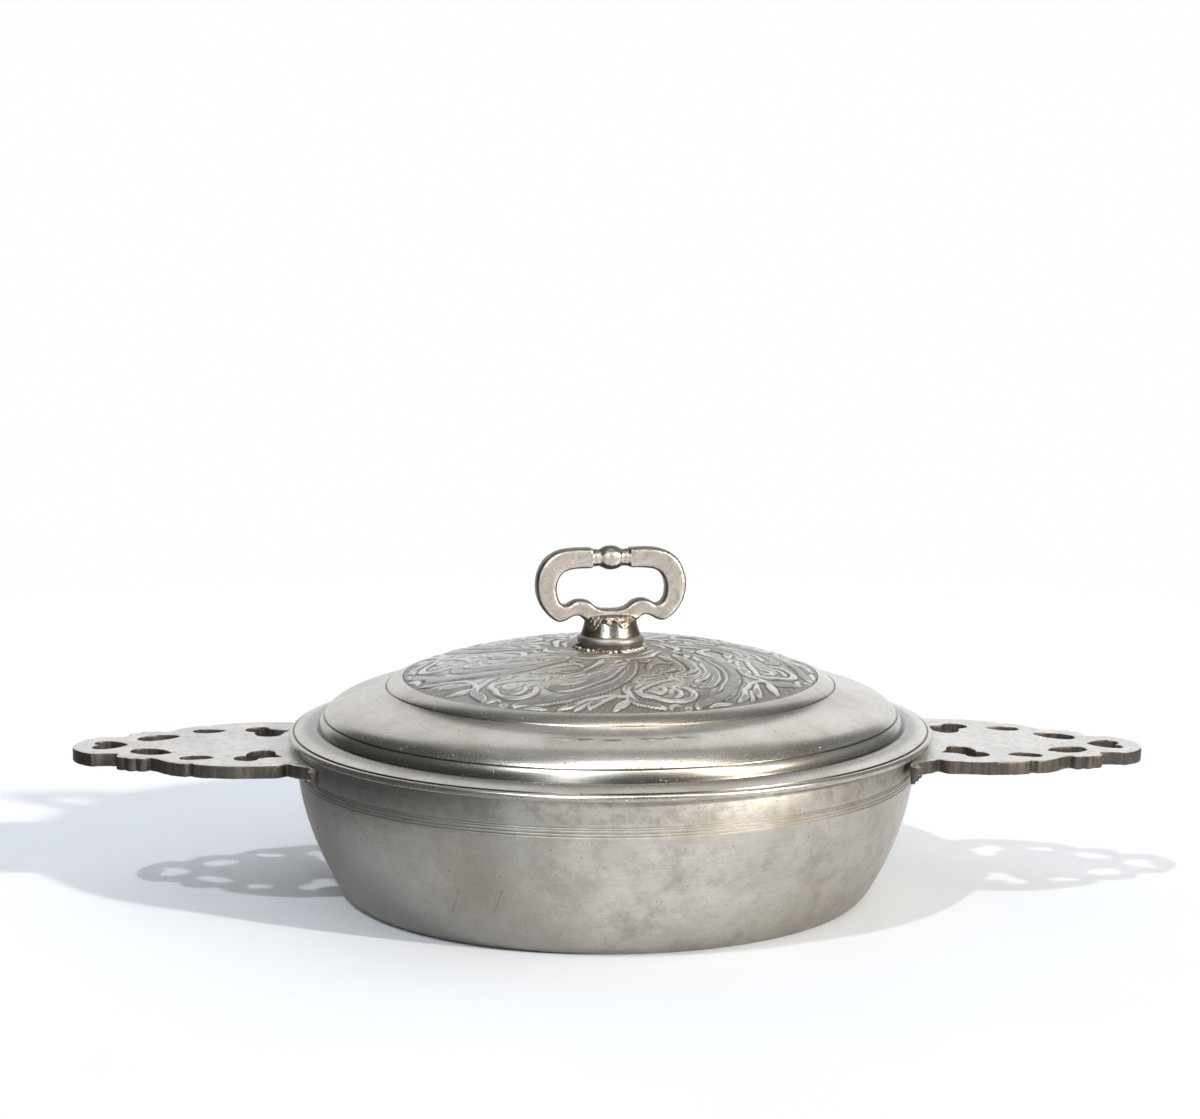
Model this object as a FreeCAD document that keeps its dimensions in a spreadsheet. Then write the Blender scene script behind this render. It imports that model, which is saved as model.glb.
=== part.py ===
"""A covered two-eared pewter broth bowl, in millimetres.

X runs from ear to ear, Y away from the person who faces the bowl, Z up.
The origin is the centre of the base, on the table.
The bowl, its two pierced ears, the turned lid with its inset relief panel and
locating ring, and the loop handle on its socket are separate castings.
Solder joins them.
"""

import FreeCAD, Part
import math
import os
import Sketcher

V = FreeCAD.Vector
doc = FreeCAD.newDocument("broth_bowl")

# Driving sizes: name, value, what it measures
SIZES = [
    ("rim_radius", 86.4, "outside of the bowl's plain band and rim"),
    ("rim_height", 43.5, "table to the rim on which the lid rests"),
    ("rim_round", 0.4, "softened rim edges"),
    ("bowl_wall", 2.4, "wall thickness of the bowl"),
    ("band_height", 33.4, "lower end of the bowl's plain band"),
    ("wall_curve", 73.0, "radius of the bowl's side, seen in section"),
    ("belly_radius", 77.0, "where the side turns in to the foot"),
    ("belly_height", 4.5, "height of that turn"),
    ("foot_curve", 12.0, "radius of the turn to the foot"),
    ("foot_radius", 73.8, "outside of the flat ring that stands on the table"),
    ("foot_ring", 8.0, "width of that ring"),
    ("foot_hollow", 0.8, "base pushed up inside the ring"),
    ("base_thickness", 2.2, "metal of the base"),
    ("floor_radius", 69.5, "flat part of the floor inside"),
    ("floor_curve", 7.0, "radius between the floor and the side"),
    ("line_top", 36.3, "highest of the turned lines on the band"),
    ("line_second", 35.7, "second line"),
    ("line_third", 34.8, "third line"),
    ("line_low", 33.95, "lowest line"),
    ("line_width", 0.44, "width of a turned line"),
    ("line_depth", 0.22, "depth of a turned line"),
    ("side_inset", 2.04, "bowl's wall above the belly, measured level"),
    ("side_rise", 1.68, "inside of the belly above its outside"),
    ("lid_radius", 89.3, "outside of the lid's bead"),
    ("bead_height", 0.9, "straight side of the bead above its under edge"),
    ("bead_round", 0.95, "radius of the bead's top"),
    ("bead_width", 0.85, "bead, from its side to its groove"),
    ("bead_top", 1.75, "bead's top above the rim"),
    ("flange_lip", 87.85, "outer edge of the flange's hollow"),
    ("flange_lip_height", 1.95, "that edge above the rim"),
    ("flange_turn", 85.7, "where the flange's hollow meets its round"),
    ("flange_turn_height", 2.85, "that place above the rim"),
    ("flange_hollow", 14.9, "radius of the flange's hollow"),
    ("flange_round", 7.4, "radius of the flange's round"),
    ("flange_inner", 82.35, "inner edge of the flange"),
    ("flange_inner_height", 3.65, "that edge above the rim"),
    ("groove_depth", 0.3, "depth of the turned grooves on the lid"),
    ("cove", 2.4, "radius of the cove under the shoulder"),
    ("cove_top", 79.6, "upper end of the cove"),
    ("cove_top_height", 5.7, "that end above the rim"),
    ("strip_radius", 79.95, "narrow strip above the cove"),
    ("strip_height", 6.35, "strip's top above the rim"),
    ("shoulder_radius", 79.6, "lower edge of the lid's shoulder"),
    ("shoulder_height", 6.75, "that edge above the rim"),
    ("shoulder_roll", 3.05, "radius of the shoulder's edge"),
    ("roll_top", 77.1, "top of the rolled edge"),
    ("roll_top_height", 9.0, "that place above the rim"),
    ("shelf_radius", 74.0, "outer end of the shoulder's hollow"),
    ("shelf_height", 9.55, "that place above the rim"),
    ("shoulder_hollow", 33.0, "radius of the shoulder's hollow"),
    ("ring_radius", 62.3, "groove outside the ring round the panel"),
    ("ring_height", 13.9, "foot of that ring above the rim"),
    ("ring_round", 8.3, "radius of the ring's top"),
    ("lid_wall", 2.0, "wall thickness of the lid"),
    ("cove_under", 2.6, "underside of the cove above the rim"),
    ("roll_under", 1.6, "underside of the shoulder's edge below its outside"),
    ("flange_slack", 0.4, "flat underside inside the locating ring"),
    ("seat_slack", 0.6, "hollow under the seat, inside the panel's edge"),
    ("seat_lip", 0.05, "how far the lid stands above the panel's edge"),
    ("panel_radius", 57.6, "edge of the relief panel"),
    ("panel_gap", 0.15, "fine joint line round the panel"),
    ("panel_edge_height", 16.2, "panel's upper edge above the rim"),
    ("panel_crown", 67.6, "top of the dome above the table"),
    ("panel_cap", 330.0, "radius of the dome's flatter middle"),
    ("panel_turn", 25.0, "where the middle meets the steeper flank"),
    ("panel_flank", 124.6, "radius of that flank"),
    ("panel_thickness", 1.2, "metal of the panel"),
    ("seat_thickness", 1.6, "lid metal below the panel"),
    ("bezel_radius", 83.2, "outside of the locating ring, 0.8 clear of the bowl"),
    ("bezel_wall", 2.0, "wall of the locating ring"),
    ("bezel_depth", 4.0, "how far it reaches into the bowl"),
    ("bezel_lead", 0.6, "bevel on its lower edge"),
    ("socket_foot", 8.7, "radius of the handle socket's foot"),
    ("socket_bulge", 9.3, "widest part of the socket's foot"),
    ("socket_neck", 7.5, "radius of the socket's neck"),
    ("socket_top", 75.0, "table to the seam between socket and loop"),
    ("collar_top", 70.5, "top of the socket's foot moulding"),
    ("collar_mid", 69.5, "widest height of that moulding"),
    ("collar_low", 68.6, "lower edge of that moulding"),
    ("collar_round", 1.4, "radius of that moulding's round"),
    ("collar_cove", 2.2, "radius of the cove above it"),
    ("flare_share", 0.6, "where the cove ends, between neck (0) and moulding (1)"),
    ("flare_height", 1.26, "height of the flare above the moulding"),
    ("foot_solder", 2.2, "width of the solder at the socket's foot"),
    ("seam_solder", 0.4, "width of the solder below the loop"),
    ("seam_solder_height", 1.2, "its height"),
    ("loop_depth", 5.2, "thickness of the loop, front to back"),
    ("loop_edge", 0.8, "rounding of the loop's edges"),
    ("loop_turn", 5.0, "degrees the loop is turned on the lid"),
    ("loop_top", 95.4, "top of the loop's bar"),
    ("saddle_height", 78.3, "bottom of the loop's opening"),
    ("bar_axis", 92.6, "middle of the loop's top bar"),
    ("bar_end", 5.1, "where the bar meets the collar of its bead"),
    ("bead_half", 3.2, "half the bead's width"),
    ("bead_curve", 4.9, "radius of the bead's outline"),
    ("bead_neck", 2.2, "radius of the grooves between bead and collars"),
    ("bead_groove", 0.2, "width of those grooves"),
    ("collar_curve", 1.125, "radius of the collars' outline"),
    ("bead_bury", 0.8, "how far the collars reach into the bar"),
    ("root_length", 8.6, "half the loop's root where it meets the plate"),
    ("root_width", 2.25, "half the root's thickness there"),
    ("root_top", 77.0, "height of that place"),
    ("ear_tip", 149.3, "axis of the bowl to the tip of an ear"),
    ("ear_half", 29.9, "half the width of an ear"),
    ("ear_top", 41.0, "table to the top of an ear at the wall"),
    ("ear_thickness", 3.8, "thickness of an ear"),
    ("droop_left", 0.3, "degrees the left ear hangs"),
    ("droop_right", 2.2, "degrees the right ear hangs"),
    ("claw_top", 1.75, "radius of a claw below the ear's bracket"),
    ("claw_tip", 0.75, "radius of a claw's tip"),
    ("claw_foot", 35.2, "table to the tip of a claw"),
    ("claw_angle", 17.4, "degrees from the ear's axis to its first claw"),
    ("claw_step", 2.75, "degrees from one claw to the next"),
    ("claw_lean", 8.0, "degrees that a claw leans out from the wall"),
    ("claw_length", 5.2, "claw, from its tip into the ear's plate"),
    ("claw_gap", 0.4, "axis of a claw's tip off the wall"),
    ("ear_solder", 1.5, "width of the solder below an ear"),
    ("ear_solder_angle", 34.0, "degrees of the wall that it covers"),
]

sheet = doc.addObject("Spreadsheet::Sheet", "dims")
for row, (alias, value, note) in enumerate(SIZES, start=1):
    sheet.set(f"A{row}", alias)
    sheet.set(f"B{row}", str(value))
    sheet.set(f"C{row}", note)
    sheet.setAlias(f"B{row}", alias)
doc.recompute()


class Size:
    """A length that remembers the spreadsheet formula it came from."""

    def __init__(self, value, formula):
        self.value = float(value)
        self.formula = formula

    def join(self, sign, other, value):
        return Size(value, f"({self.formula} {sign} {other.formula})")

    def __add__(self, other):
        other = size_of(other)
        return self.join("+", other, self.value + other.value)

    def __sub__(self, other):
        other = size_of(other)
        return self.join("-", other, self.value - other.value)

    def __mul__(self, other):
        other = size_of(other)
        return self.join("*", other, self.value * other.value)

    def __truediv__(self, other):
        other = size_of(other)
        return self.join("/", other, self.value / other.value)

    def __neg__(self):
        return size_of(0) - self


def size_of(thing):
    """A plain number as a Size, and a Size as it is."""
    return thing if isinstance(thing, Size) else Size(thing, repr(float(thing)))


def root(size):
    return Size(math.sqrt(size.value), f"sqrt({size.formula})")


S = {alias: Size(value, f"dims.{alias}") for alias, value, _ in SIZES}
ZERO = size_of(0)
ONE = size_of(1)


def bind(thing, prop, size):
    """Set a property from the spreadsheet."""
    setattr(thing, prop, size.value)
    thing.setExpression(prop, size.formula)


def above_rim(alias):
    return S["rim_height"] + S[alias]


def dome_height(radius, below):
    """Height at a radius of a surface that lies below the panel's dome."""
    lean = S["panel_turn"] / S["panel_cap"]
    middle = S["panel_crown"] - S["panel_cap"]
    if radius.value < S["panel_turn"].value:
        ball = S["panel_cap"] - below
        return middle + root(ball * ball - radius * radius)
    apart = S["panel_cap"] - S["panel_flank"]
    ball = S["panel_flank"] - below
    out = radius - apart * lean
    return middle + apart * root(ONE - lean * lean) + root(ball * ball - out * out)


def dome_stations(edge, below, outward):
    """The dome's section from the axis to an edge, or back again."""
    lean = S["panel_turn"] / S["panel_cap"]
    turn = (S["panel_turn"] - below * lean,
            S["panel_crown"] - S["panel_cap"] + (S["panel_cap"] - below) * root(ONE - lean * lean))
    axis = (ZERO, S["panel_crown"] - below)
    rim = (edge, dome_height(edge, below))
    cap = S["panel_cap"] - below
    flank = S["panel_flank"] - below
    if outward:
        return [(*axis, cap, 1), (*turn, flank, 1), rim]
    return [(*rim, flank, -1), (*turn, cap, -1), axis]


def new_body(name):
    body = doc.addObject("PartDesign::Body", name)
    body.Label = name
    return body


def plane_of(body, role):
    return next(p for p in body.Origin.OriginFeatures if p.Role == role)


def new_sketch(body, name, role, height=None):
    """A sketch on one of the body's own planes, lifted along its normal if asked."""
    sketch = body.newObject("Sketcher::SketchObject", name)
    sketch.AttachmentSupport = [(plane_of(body, role), "")]
    sketch.MapMode = "FlatFace"
    if height is not None:
        sketch.AttachmentOffset = FreeCAD.Placement(V(0, 0, height.value), FreeCAD.Rotation())
        sketch.setExpression("AttachmentOffset.Base.z", height.formula)
    return sketch


def fix_point(sketch, geo, pos, x, y):
    """Tie a vertex to the spreadsheet, or to an axis where a coordinate is zero."""
    for size, kind, axis in ((x, "DistanceX", -2), (y, "DistanceY", -1)):
        if size is ZERO:
            sketch.addConstraint(Sketcher.Constraint("PointOnObject", geo, pos, axis))
        else:
            index = sketch.addConstraint(Sketcher.Constraint(kind, -1, 1, geo, pos, size.value))
            sketch.setExpression(f"Constraints[{index}]", size.formula)


def arc_between(start, end, radius, bulge):
    """The short arc of a radius from start to end, bulging left (+1) or right (-1)."""
    chord = end - start
    half = chord.Length / 2
    rise = radius - math.sqrt(radius * radius - half * half)
    left = V(-chord.y, chord.x, 0).normalize()
    return Part.Arc(start, (start + end) * 0.5 + left * (rise * bulge), end)


def closed_profile(sketch, stations):
    """Draw and tie a closed outline.

    A station is (x, y) for a straight run to the next one, or
    (x, y, radius, bulge) for an arc to it that bulges left or right of the way.
    """
    ends = []
    for i, station in enumerate(stations):
        following = stations[(i + 1) % len(stations)]
        start = V(station[0].value, station[1].value, 0)
        end = V(following[0].value, following[1].value, 0)
        if len(station) == 2:
            geo = sketch.addGeometry(Part.LineSegment(start, end), False)
        else:
            geo = sketch.addGeometry(arc_between(start, end, station[2].value, station[3]), False)
        first = 1 if sketch.getPoint(geo, 1).isEqual(start, 1e-6) else 2
        ends.append((geo, first, 3 - first))
    for i, (geo, first, last) in enumerate(ends):
        after, after_first, _ = ends[(i + 1) % len(ends)]
        sketch.addConstraint(Sketcher.Constraint("Coincident", geo, last, after, after_first))
        fix_point(sketch, geo, first, stations[i][0], stations[i][1])
        if len(stations[i]) > 2:
            radius = stations[i][2]
            index = sketch.addConstraint(Sketcher.Constraint("Radius", geo, radius.value))
            sketch.setExpression(f"Constraints[{index}]", radius.formula)


def turned(name, stations):
    """A body turned round Z from a closed profile of (radius, height) stations."""
    body = new_body(name)
    sketch = new_sketch(body, name + "_profile", "XZ_Plane")
    closed_profile(sketch, stations)
    feature = body.newObject("PartDesign::Revolution", name + "_turned")
    feature.Profile = sketch
    feature.ReferenceAxis = (sketch, ["V_Axis"])
    feature.Angle = 360
    body.Tip = feature
    doc.recompute()
    return body


# The bowl: a turned shell with a plain band, four fine lines and a flat foot ring
def make_bowl():
    inner = S["rim_radius"] - S["bowl_wall"]
    ring_inner = S["foot_radius"] - S["foot_ring"]
    floor = S["foot_hollow"] + S["base_thickness"]
    side_in = S["belly_radius"] - S["side_inset"]
    side_in_height = S["belly_height"] + S["side_rise"]
    body = turned("bowl_shell", [
        (ZERO, S["foot_hollow"]),
        (ring_inner - S["foot_hollow"], S["foot_hollow"]),
        (ring_inner, ZERO),
        (S["foot_radius"], ZERO, S["foot_curve"], -1),
        (S["belly_radius"], S["belly_height"], S["wall_curve"], -1),
        (S["rim_radius"], S["band_height"]),
        (S["rim_radius"], S["rim_height"] - S["rim_round"]),
        (S["rim_radius"] - S["rim_round"], S["rim_height"]),
        (inner + S["rim_round"], S["rim_height"]),
        (inner, S["rim_height"] - S["rim_round"]),
        (inner, S["band_height"], S["wall_curve"] - S["bowl_wall"], 1),
        (side_in, side_in_height, S["floor_curve"], 1),
        (S["floor_radius"], floor),
        (ZERO, floor),
    ])
    before = body.Shape.Volume
    lines = new_sketch(body, "band_lines", "XZ_Plane")
    half = S["line_width"] * 0.5
    for alias in ("line_top", "line_second", "line_third", "line_low"):
        middle = S[alias]
        closed_profile(lines, [
            (S["rim_radius"] + half, middle - half * 2),
            (S["rim_radius"] + half, middle + half * 2),
            (S["rim_radius"] - S["line_depth"], middle),
        ])
    groove = body.newObject("PartDesign::Groove", "band_grooves")
    groove.Profile = lines
    groove.ReferenceAxis = (lines, ["V_Axis"])
    groove.Angle = 360
    body.Tip = groove
    doc.recompute()
    print("band lines take", round(before - body.Shape.Volume, 1), "mm3")
    assert body.Shape.Volume < before - 1
    return body


# The lid: bead, flange, cove, shoulder and ring, with a seat for the panel
def make_lid():
    rim = S["rim_height"]
    wall = S["lid_wall"]
    seat_radius = S["panel_radius"] + S["panel_gap"]
    groove = S["groove_depth"]
    under = S["panel_thickness"] + S["seat_thickness"]
    hollow_radius = S["panel_radius"] - S["seat_slack"]
    flange_under = S["bezel_radius"] - S["bezel_wall"] - S["flange_slack"]
    return turned("lid_shell", [
        *dome_stations(seat_radius, S["panel_thickness"], True),
        (seat_radius, above_rim("panel_edge_height") + S["seat_lip"], S["ring_round"], 1),
        (S["ring_radius"] - groove, above_rim("ring_height") + groove),
        (S["ring_radius"], above_rim("ring_height") - groove),
        (S["ring_radius"] + groove, above_rim("ring_height") - S["seat_lip"], S["shoulder_hollow"], -1),
        (S["shelf_radius"], above_rim("shelf_height")),
        (S["roll_top"], above_rim("roll_top_height"), S["shoulder_roll"], 1),
        (S["shoulder_radius"], above_rim("shoulder_height")),
        (S["shoulder_radius"] - groove, above_rim("strip_height") + groove * 0.5),
        (S["strip_radius"], above_rim("strip_height")),
        (S["strip_radius"], above_rim("cove_top_height") + groove * 0.5),
        (S["cove_top"], above_rim("cove_top_height"), S["cove"], -1),
        (S["flange_inner"] - groove, above_rim("flange_inner_height") - groove),
        (S["flange_inner"], above_rim("flange_inner_height"), S["flange_round"], 1),
        (S["flange_turn"], above_rim("flange_turn_height"), S["flange_hollow"], -1),
        (S["flange_lip"], above_rim("flange_lip_height")),
        (S["flange_lip"] + groove, above_rim("bead_top") - groove),
        (S["lid_radius"] - S["bead_width"], above_rim("bead_top"), S["bead_round"], 1),
        (S["lid_radius"], rim + S["bead_height"]),
        (S["lid_radius"], rim + groove),
        (S["lid_radius"] - groove, rim),
        (flange_under, rim),
        (S["cove_top"] - wall, above_rim("cove_under")),
        (S["shoulder_radius"] - wall, above_rim("shoulder_height") - S["roll_under"]),
        (S["roll_top"] - wall * 0.5, above_rim("roll_top_height") - wall),
        (S["shelf_radius"] - wall * 0.2, above_rim("shelf_height") - wall, S["shoulder_hollow"] + wall, 1),
        (S["ring_radius"] - wall * 0.5, above_rim("ring_height") - wall),
        *dome_stations(hollow_radius, under, False),
    ])


# The relief panel: a thin domed disc let into the lid
def make_panel():
    edge = S["panel_radius"]
    return turned("relief_panel", [
        *dome_stations(edge, S["panel_thickness"], True),
        *dome_stations(edge, ZERO, False),
    ])


# The locating ring under the lid
def make_bezel():
    inner = S["bezel_radius"] - S["bezel_wall"]
    foot = S["rim_height"] - S["bezel_depth"]
    return turned("lid_bezel", [
        (inner, foot),
        (S["bezel_radius"] - S["bezel_lead"], foot),
        (S["bezel_radius"], foot + S["bezel_lead"] * 2),
        (S["bezel_radius"], S["rim_height"]),
        (inner, S["rim_height"]),
    ])


# The socket of the handle: a foot moulding, a flare and a round neck
def make_socket():
    flare = S["socket_neck"] + (S["socket_bulge"] - S["socket_neck"]) * S["flare_share"]
    neck_foot = S["collar_top"] + S["flare_height"]
    return turned("handle_socket", [
        (ZERO, S["panel_crown"], S["panel_cap"], 1),
        (S["socket_foot"], dome_height(S["socket_foot"], ZERO)),
        (S["socket_foot"], S["collar_low"]),
        (S["socket_bulge"], S["collar_mid"], S["collar_round"], -1),
        (flare, S["collar_top"], S["collar_cove"], 1),
        (S["socket_neck"], neck_foot),
        (S["socket_neck"], S["socket_top"]),
        (ZERO, S["socket_top"]),
    ])


def make_foot_solder():
    outer = S["socket_foot"] + S["foot_solder"]
    return turned("socket_solder", [
        (S["socket_foot"], dome_height(S["socket_foot"], ZERO), S["panel_cap"], 1),
        (outer, dome_height(outer, ZERO)),
        (S["socket_foot"] + S["foot_solder"] * 0.4, S["collar_low"] - 0.2),
        (S["socket_foot"], S["collar_low"]),
    ])


def make_seam_solder():
    low = S["socket_top"] - S["seam_solder_height"]
    outer = S["socket_neck"] + S["seam_solder"]
    return turned("loop_solder", [
        (S["socket_neck"], low),
        (outer, S["socket_top"] - S["seam_solder_height"] * 0.4),
        (outer, S["socket_top"]),
        (S["socket_neck"], S["socket_top"]),
    ])


def arc_run(points):
    """Arcs through every second point of a run of (x, y) places."""
    places = [V(x, y, 0) for x, y in points]
    return [Part.Arc(*places[i:i + 3]) for i in range(0, len(places) - 2, 2)]


def mirrored_run(points):
    return [(x, -y) for x, y in points]


def smooth_run(points):
    """One smooth curve through a run of (x, y) places."""
    curve = Part.BSplineCurve()
    curve.interpolate([V(x, y, 0) for x, y in points])
    return curve


# Half the loop's outline, as (from its middle, above the table): its outside from
# the foot to the bar, and its opening from the bar to the saddle
LOOP_OUTSIDE = [
    (7.9, 76.0), (9.2, 76.75), (11.0, 76.3), (12.9, 75.2), (14.5, 74.8), (16.3, 75.7),
    (19.2, 78.9), (20.8, 83.0), (20.7, 87.6), (18.9, 91.7), (15.6, 94.4), (11.5, 95.4),
]
LOOP_OPENING = [
    (10.2, 89.7), (13.4, 88.6), (15.1, 85.6), (15.0, 82.3), (13.9, 80.0), (12.6, 79.5),
    (11.0, 80.6), (8.6, 81.2), (6.2, 80.6), (4.3, 79.0), (2.4, 78.35),
]


def loop_edges():
    """The loop seen from the front: outside, opening, bar ends and foot."""
    top = S["loop_top"].value
    foot = S["socket_top"].value
    neck = S["socket_neck"].value
    end = S["bar_end"].value
    under = 2 * S["bar_axis"].value - top
    outside = [(neck, foot), *LOOP_OUTSIDE, (end, top)]
    opening = [(end, under), *LOOP_OPENING]
    other = [(-x, z) for x, z in reversed(opening)]
    edges = [smooth_run(opening + [(0, S["saddle_height"].value)] + other)]
    for side in (1, -1):
        edges.append(smooth_run([(side * x, z) for x, z in outside]))
        edges.append(Part.LineSegment(V(side * end, under, 0), V(side * end, top, 0)))
    edges.append(Part.LineSegment(V(-neck, foot, 0), V(neck, foot, 0)))
    return edges


# The loop: a flat casting with rounded edges, a root that spreads from round to flat,
# and a bead on its bar
def make_loop():
    body = new_body("handle_loop")
    outline = new_sketch(body, "loop_outline", "XZ_Plane")
    outline.addGeometry(loop_edges(), False)
    pad = body.newObject("PartDesign::Pad", "loop_plate")
    pad.Profile = outline
    pad.SideType = "Symmetric"
    bind(pad, "Length", S["loop_depth"])
    body.Tip = pad
    doc.recompute()
    curved = [
        f"Edge{i}" for i, edge in enumerate(pad.Shape.Edges, start=1)
        if edge.BoundBox.YLength < 1e-6 and edge.Length > 3 * S["bar_end"].value
    ]
    rounding = body.newObject("PartDesign::Fillet", "loop_rounding")
    rounding.Base = (pad, curved)
    bind(rounding, "Radius", S["loop_edge"])
    body.Tip = rounding
    doc.recompute()

    stub = new_sketch(body, "loop_root", "XY_Plane", S["socket_top"])
    circle = stub.addGeometry(Part.Circle(V(0, 0, 0), V(0, 0, 1), S["socket_neck"].value), False)
    stub.addConstraint(Sketcher.Constraint("Coincident", circle, 3, -1, 1))
    index = stub.addConstraint(Sketcher.Constraint("Radius", circle, S["socket_neck"].value))
    stub.setExpression(f"Constraints[{index}]", S["socket_neck"].formula)
    crest = new_sketch(body, "loop_root_top", "XY_Plane", S["root_top"])
    crest.addGeometry(Part.Ellipse(V(0, 0, 0), S["root_length"].value, S["root_width"].value), False)
    root_block = body.newObject("PartDesign::AdditiveLoft", "root_block")
    root_block.Profile = stub
    root_block.Sections = [crest]
    body.Tip = root_block
    doc.recompute()

    bead = new_sketch(body, "bead_profile", "XZ_Plane")
    axis = S["bar_axis"]
    neck = axis + S["bead_neck"]
    end = S["bar_end"]
    half = S["bead_half"]
    collar = S["collar_curve"]
    gap = S["bead_groove"]
    buried = end + S["bead_bury"]
    closed_profile(bead, [
        (-buried, axis),
        (buried, axis),
        (buried, neck),
        (end - gap, neck, collar, -1),
        (half + gap, neck),
        (half, neck, S["bead_curve"], -1),
        (-half, neck),
        (-half - gap, neck, collar, -1),
        (-end + gap, neck),
        (-buried, neck),
    ])
    turning = body.newObject("PartDesign::Revolution", "bead")
    turning.Profile = bead
    turning.ReferenceAxis = (bead, ["Edge1"])
    turning.Angle = 360
    body.Tip = turning
    doc.recompute()
    body.Placement = FreeCAD.Placement(V(0, 0, 0), FreeCAD.Rotation(V(0, 0, 1), 1))
    body.setExpression("Placement.Rotation.Angle", S["loop_turn"].formula + " * 1 deg")
    return body


# The ear's outline, half of it, as (from the bowl's axis, from the ear's own axis)
EAR_ARM = [(79.4, 34.4), (82.2, 32.7), (84.8, 30.8), (86.7, 29.2), (88.2, 27.0)]
EAR_SHOULDER = [(88.2, 27.0), (89.7, 29.1), (92.6, 29.7)]
EAR_SIDE = [(103.0, 29.6), (108.4, 28.6), (113.4, 26.6)]
EAR_NICK = [(113.4, 26.6), (114.3, 25.4), (115.5, 26.0)]
EAR_WAIST = [(115.5, 26.0), (119.3, 24.2), (122.3, 21.4), (124.0, 19.2), (126.2, 17.4)]
EAR_FLUTES = [
    (126.2, 17.4), (128.0, 18.8), (129.7, 17.6), (131.3, 18.2), (132.6, 16.5), (134.3, 16.4),
    (135.5, 14.0),
]
EAR_STEP = [(135.5, 14.0), (135.3, 12.2), (136.6, 11.3), (139.6, 11.0), (142.8, 11.4)]
# From the bowl's axis: the widest place, and a line inside the wall where the ear is cut
EAR_WIDEST = 97.8
EAR_INSIDE = 76.0

# The pierced openings: a comma and two leaves on each side, and a drop on the axis
COMMA = [
    (89.6, 18.9), (91.6, 15.8), (92.4, 13.0), (95.9, 9.2), (99.6, 12.6), (100.2, 14.3),
    (99.9, 15.8), (103.2, 18.9), (100.2, 23.0), (97.6, 23.0), (96.7, 20.7), (93.4, 19.0),
    (89.6, 18.9),
]
INNER_LEAF = [
    (108.4, 18.9), (112.6, 15.2), (116.6, 15.9), (118.0, 18.4), (116.4, 20.8), (112.4, 20.6),
    (108.4, 18.9),
]
OUTER_LEAF = [
    (120.8, 11.6), (124.2, 6.7), (129.6, 4.8), (132.3, 7.4), (130.6, 11.4), (126.0, 13.7),
    (120.8, 11.6),
]
DROP = [
    (134.1, 0), (136.5, 3.5), (139.4, 5.4), (143.0, 4.5), (142.0, 0), (143.0, -4.5),
    (139.4, -5.4), (136.5, -3.5), (134.1, 0),
]
EYE = [(85.2, 26.2), (86.4, 25.5), (87.5, 26.0), (86.4, 26.7), (85.2, 26.2)]


def ear_outline():
    """The closed outline, with the wall's side left to the bowl's own curve."""
    halves = []
    side = [EAR_SHOULDER[-1], (EAR_WIDEST, S["ear_half"].value), EAR_SIDE[0]]
    for turn in (list, mirrored_run):
        for run in (EAR_ARM, EAR_SHOULDER, side, EAR_SIDE, EAR_NICK, EAR_WAIST, EAR_FLUTES, EAR_STEP):
            halves += arc_run(turn(run))
    lobe_x, lobe_y = EAR_STEP[-1]
    halves += arc_run([(lobe_x, lobe_y), (S["ear_tip"].value, 0), (lobe_x, -lobe_y)])
    for sign in (1, -1):
        arm_x, arm_y = EAR_ARM[0]
        halves.append(Part.LineSegment(V(EAR_INSIDE, sign * arm_y, 0), V(arm_x, sign * arm_y, 0)))
    halves.append(Part.LineSegment(V(EAR_INSIDE, -arm_y, 0), V(EAR_INSIDE, arm_y, 0)))
    return halves


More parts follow.
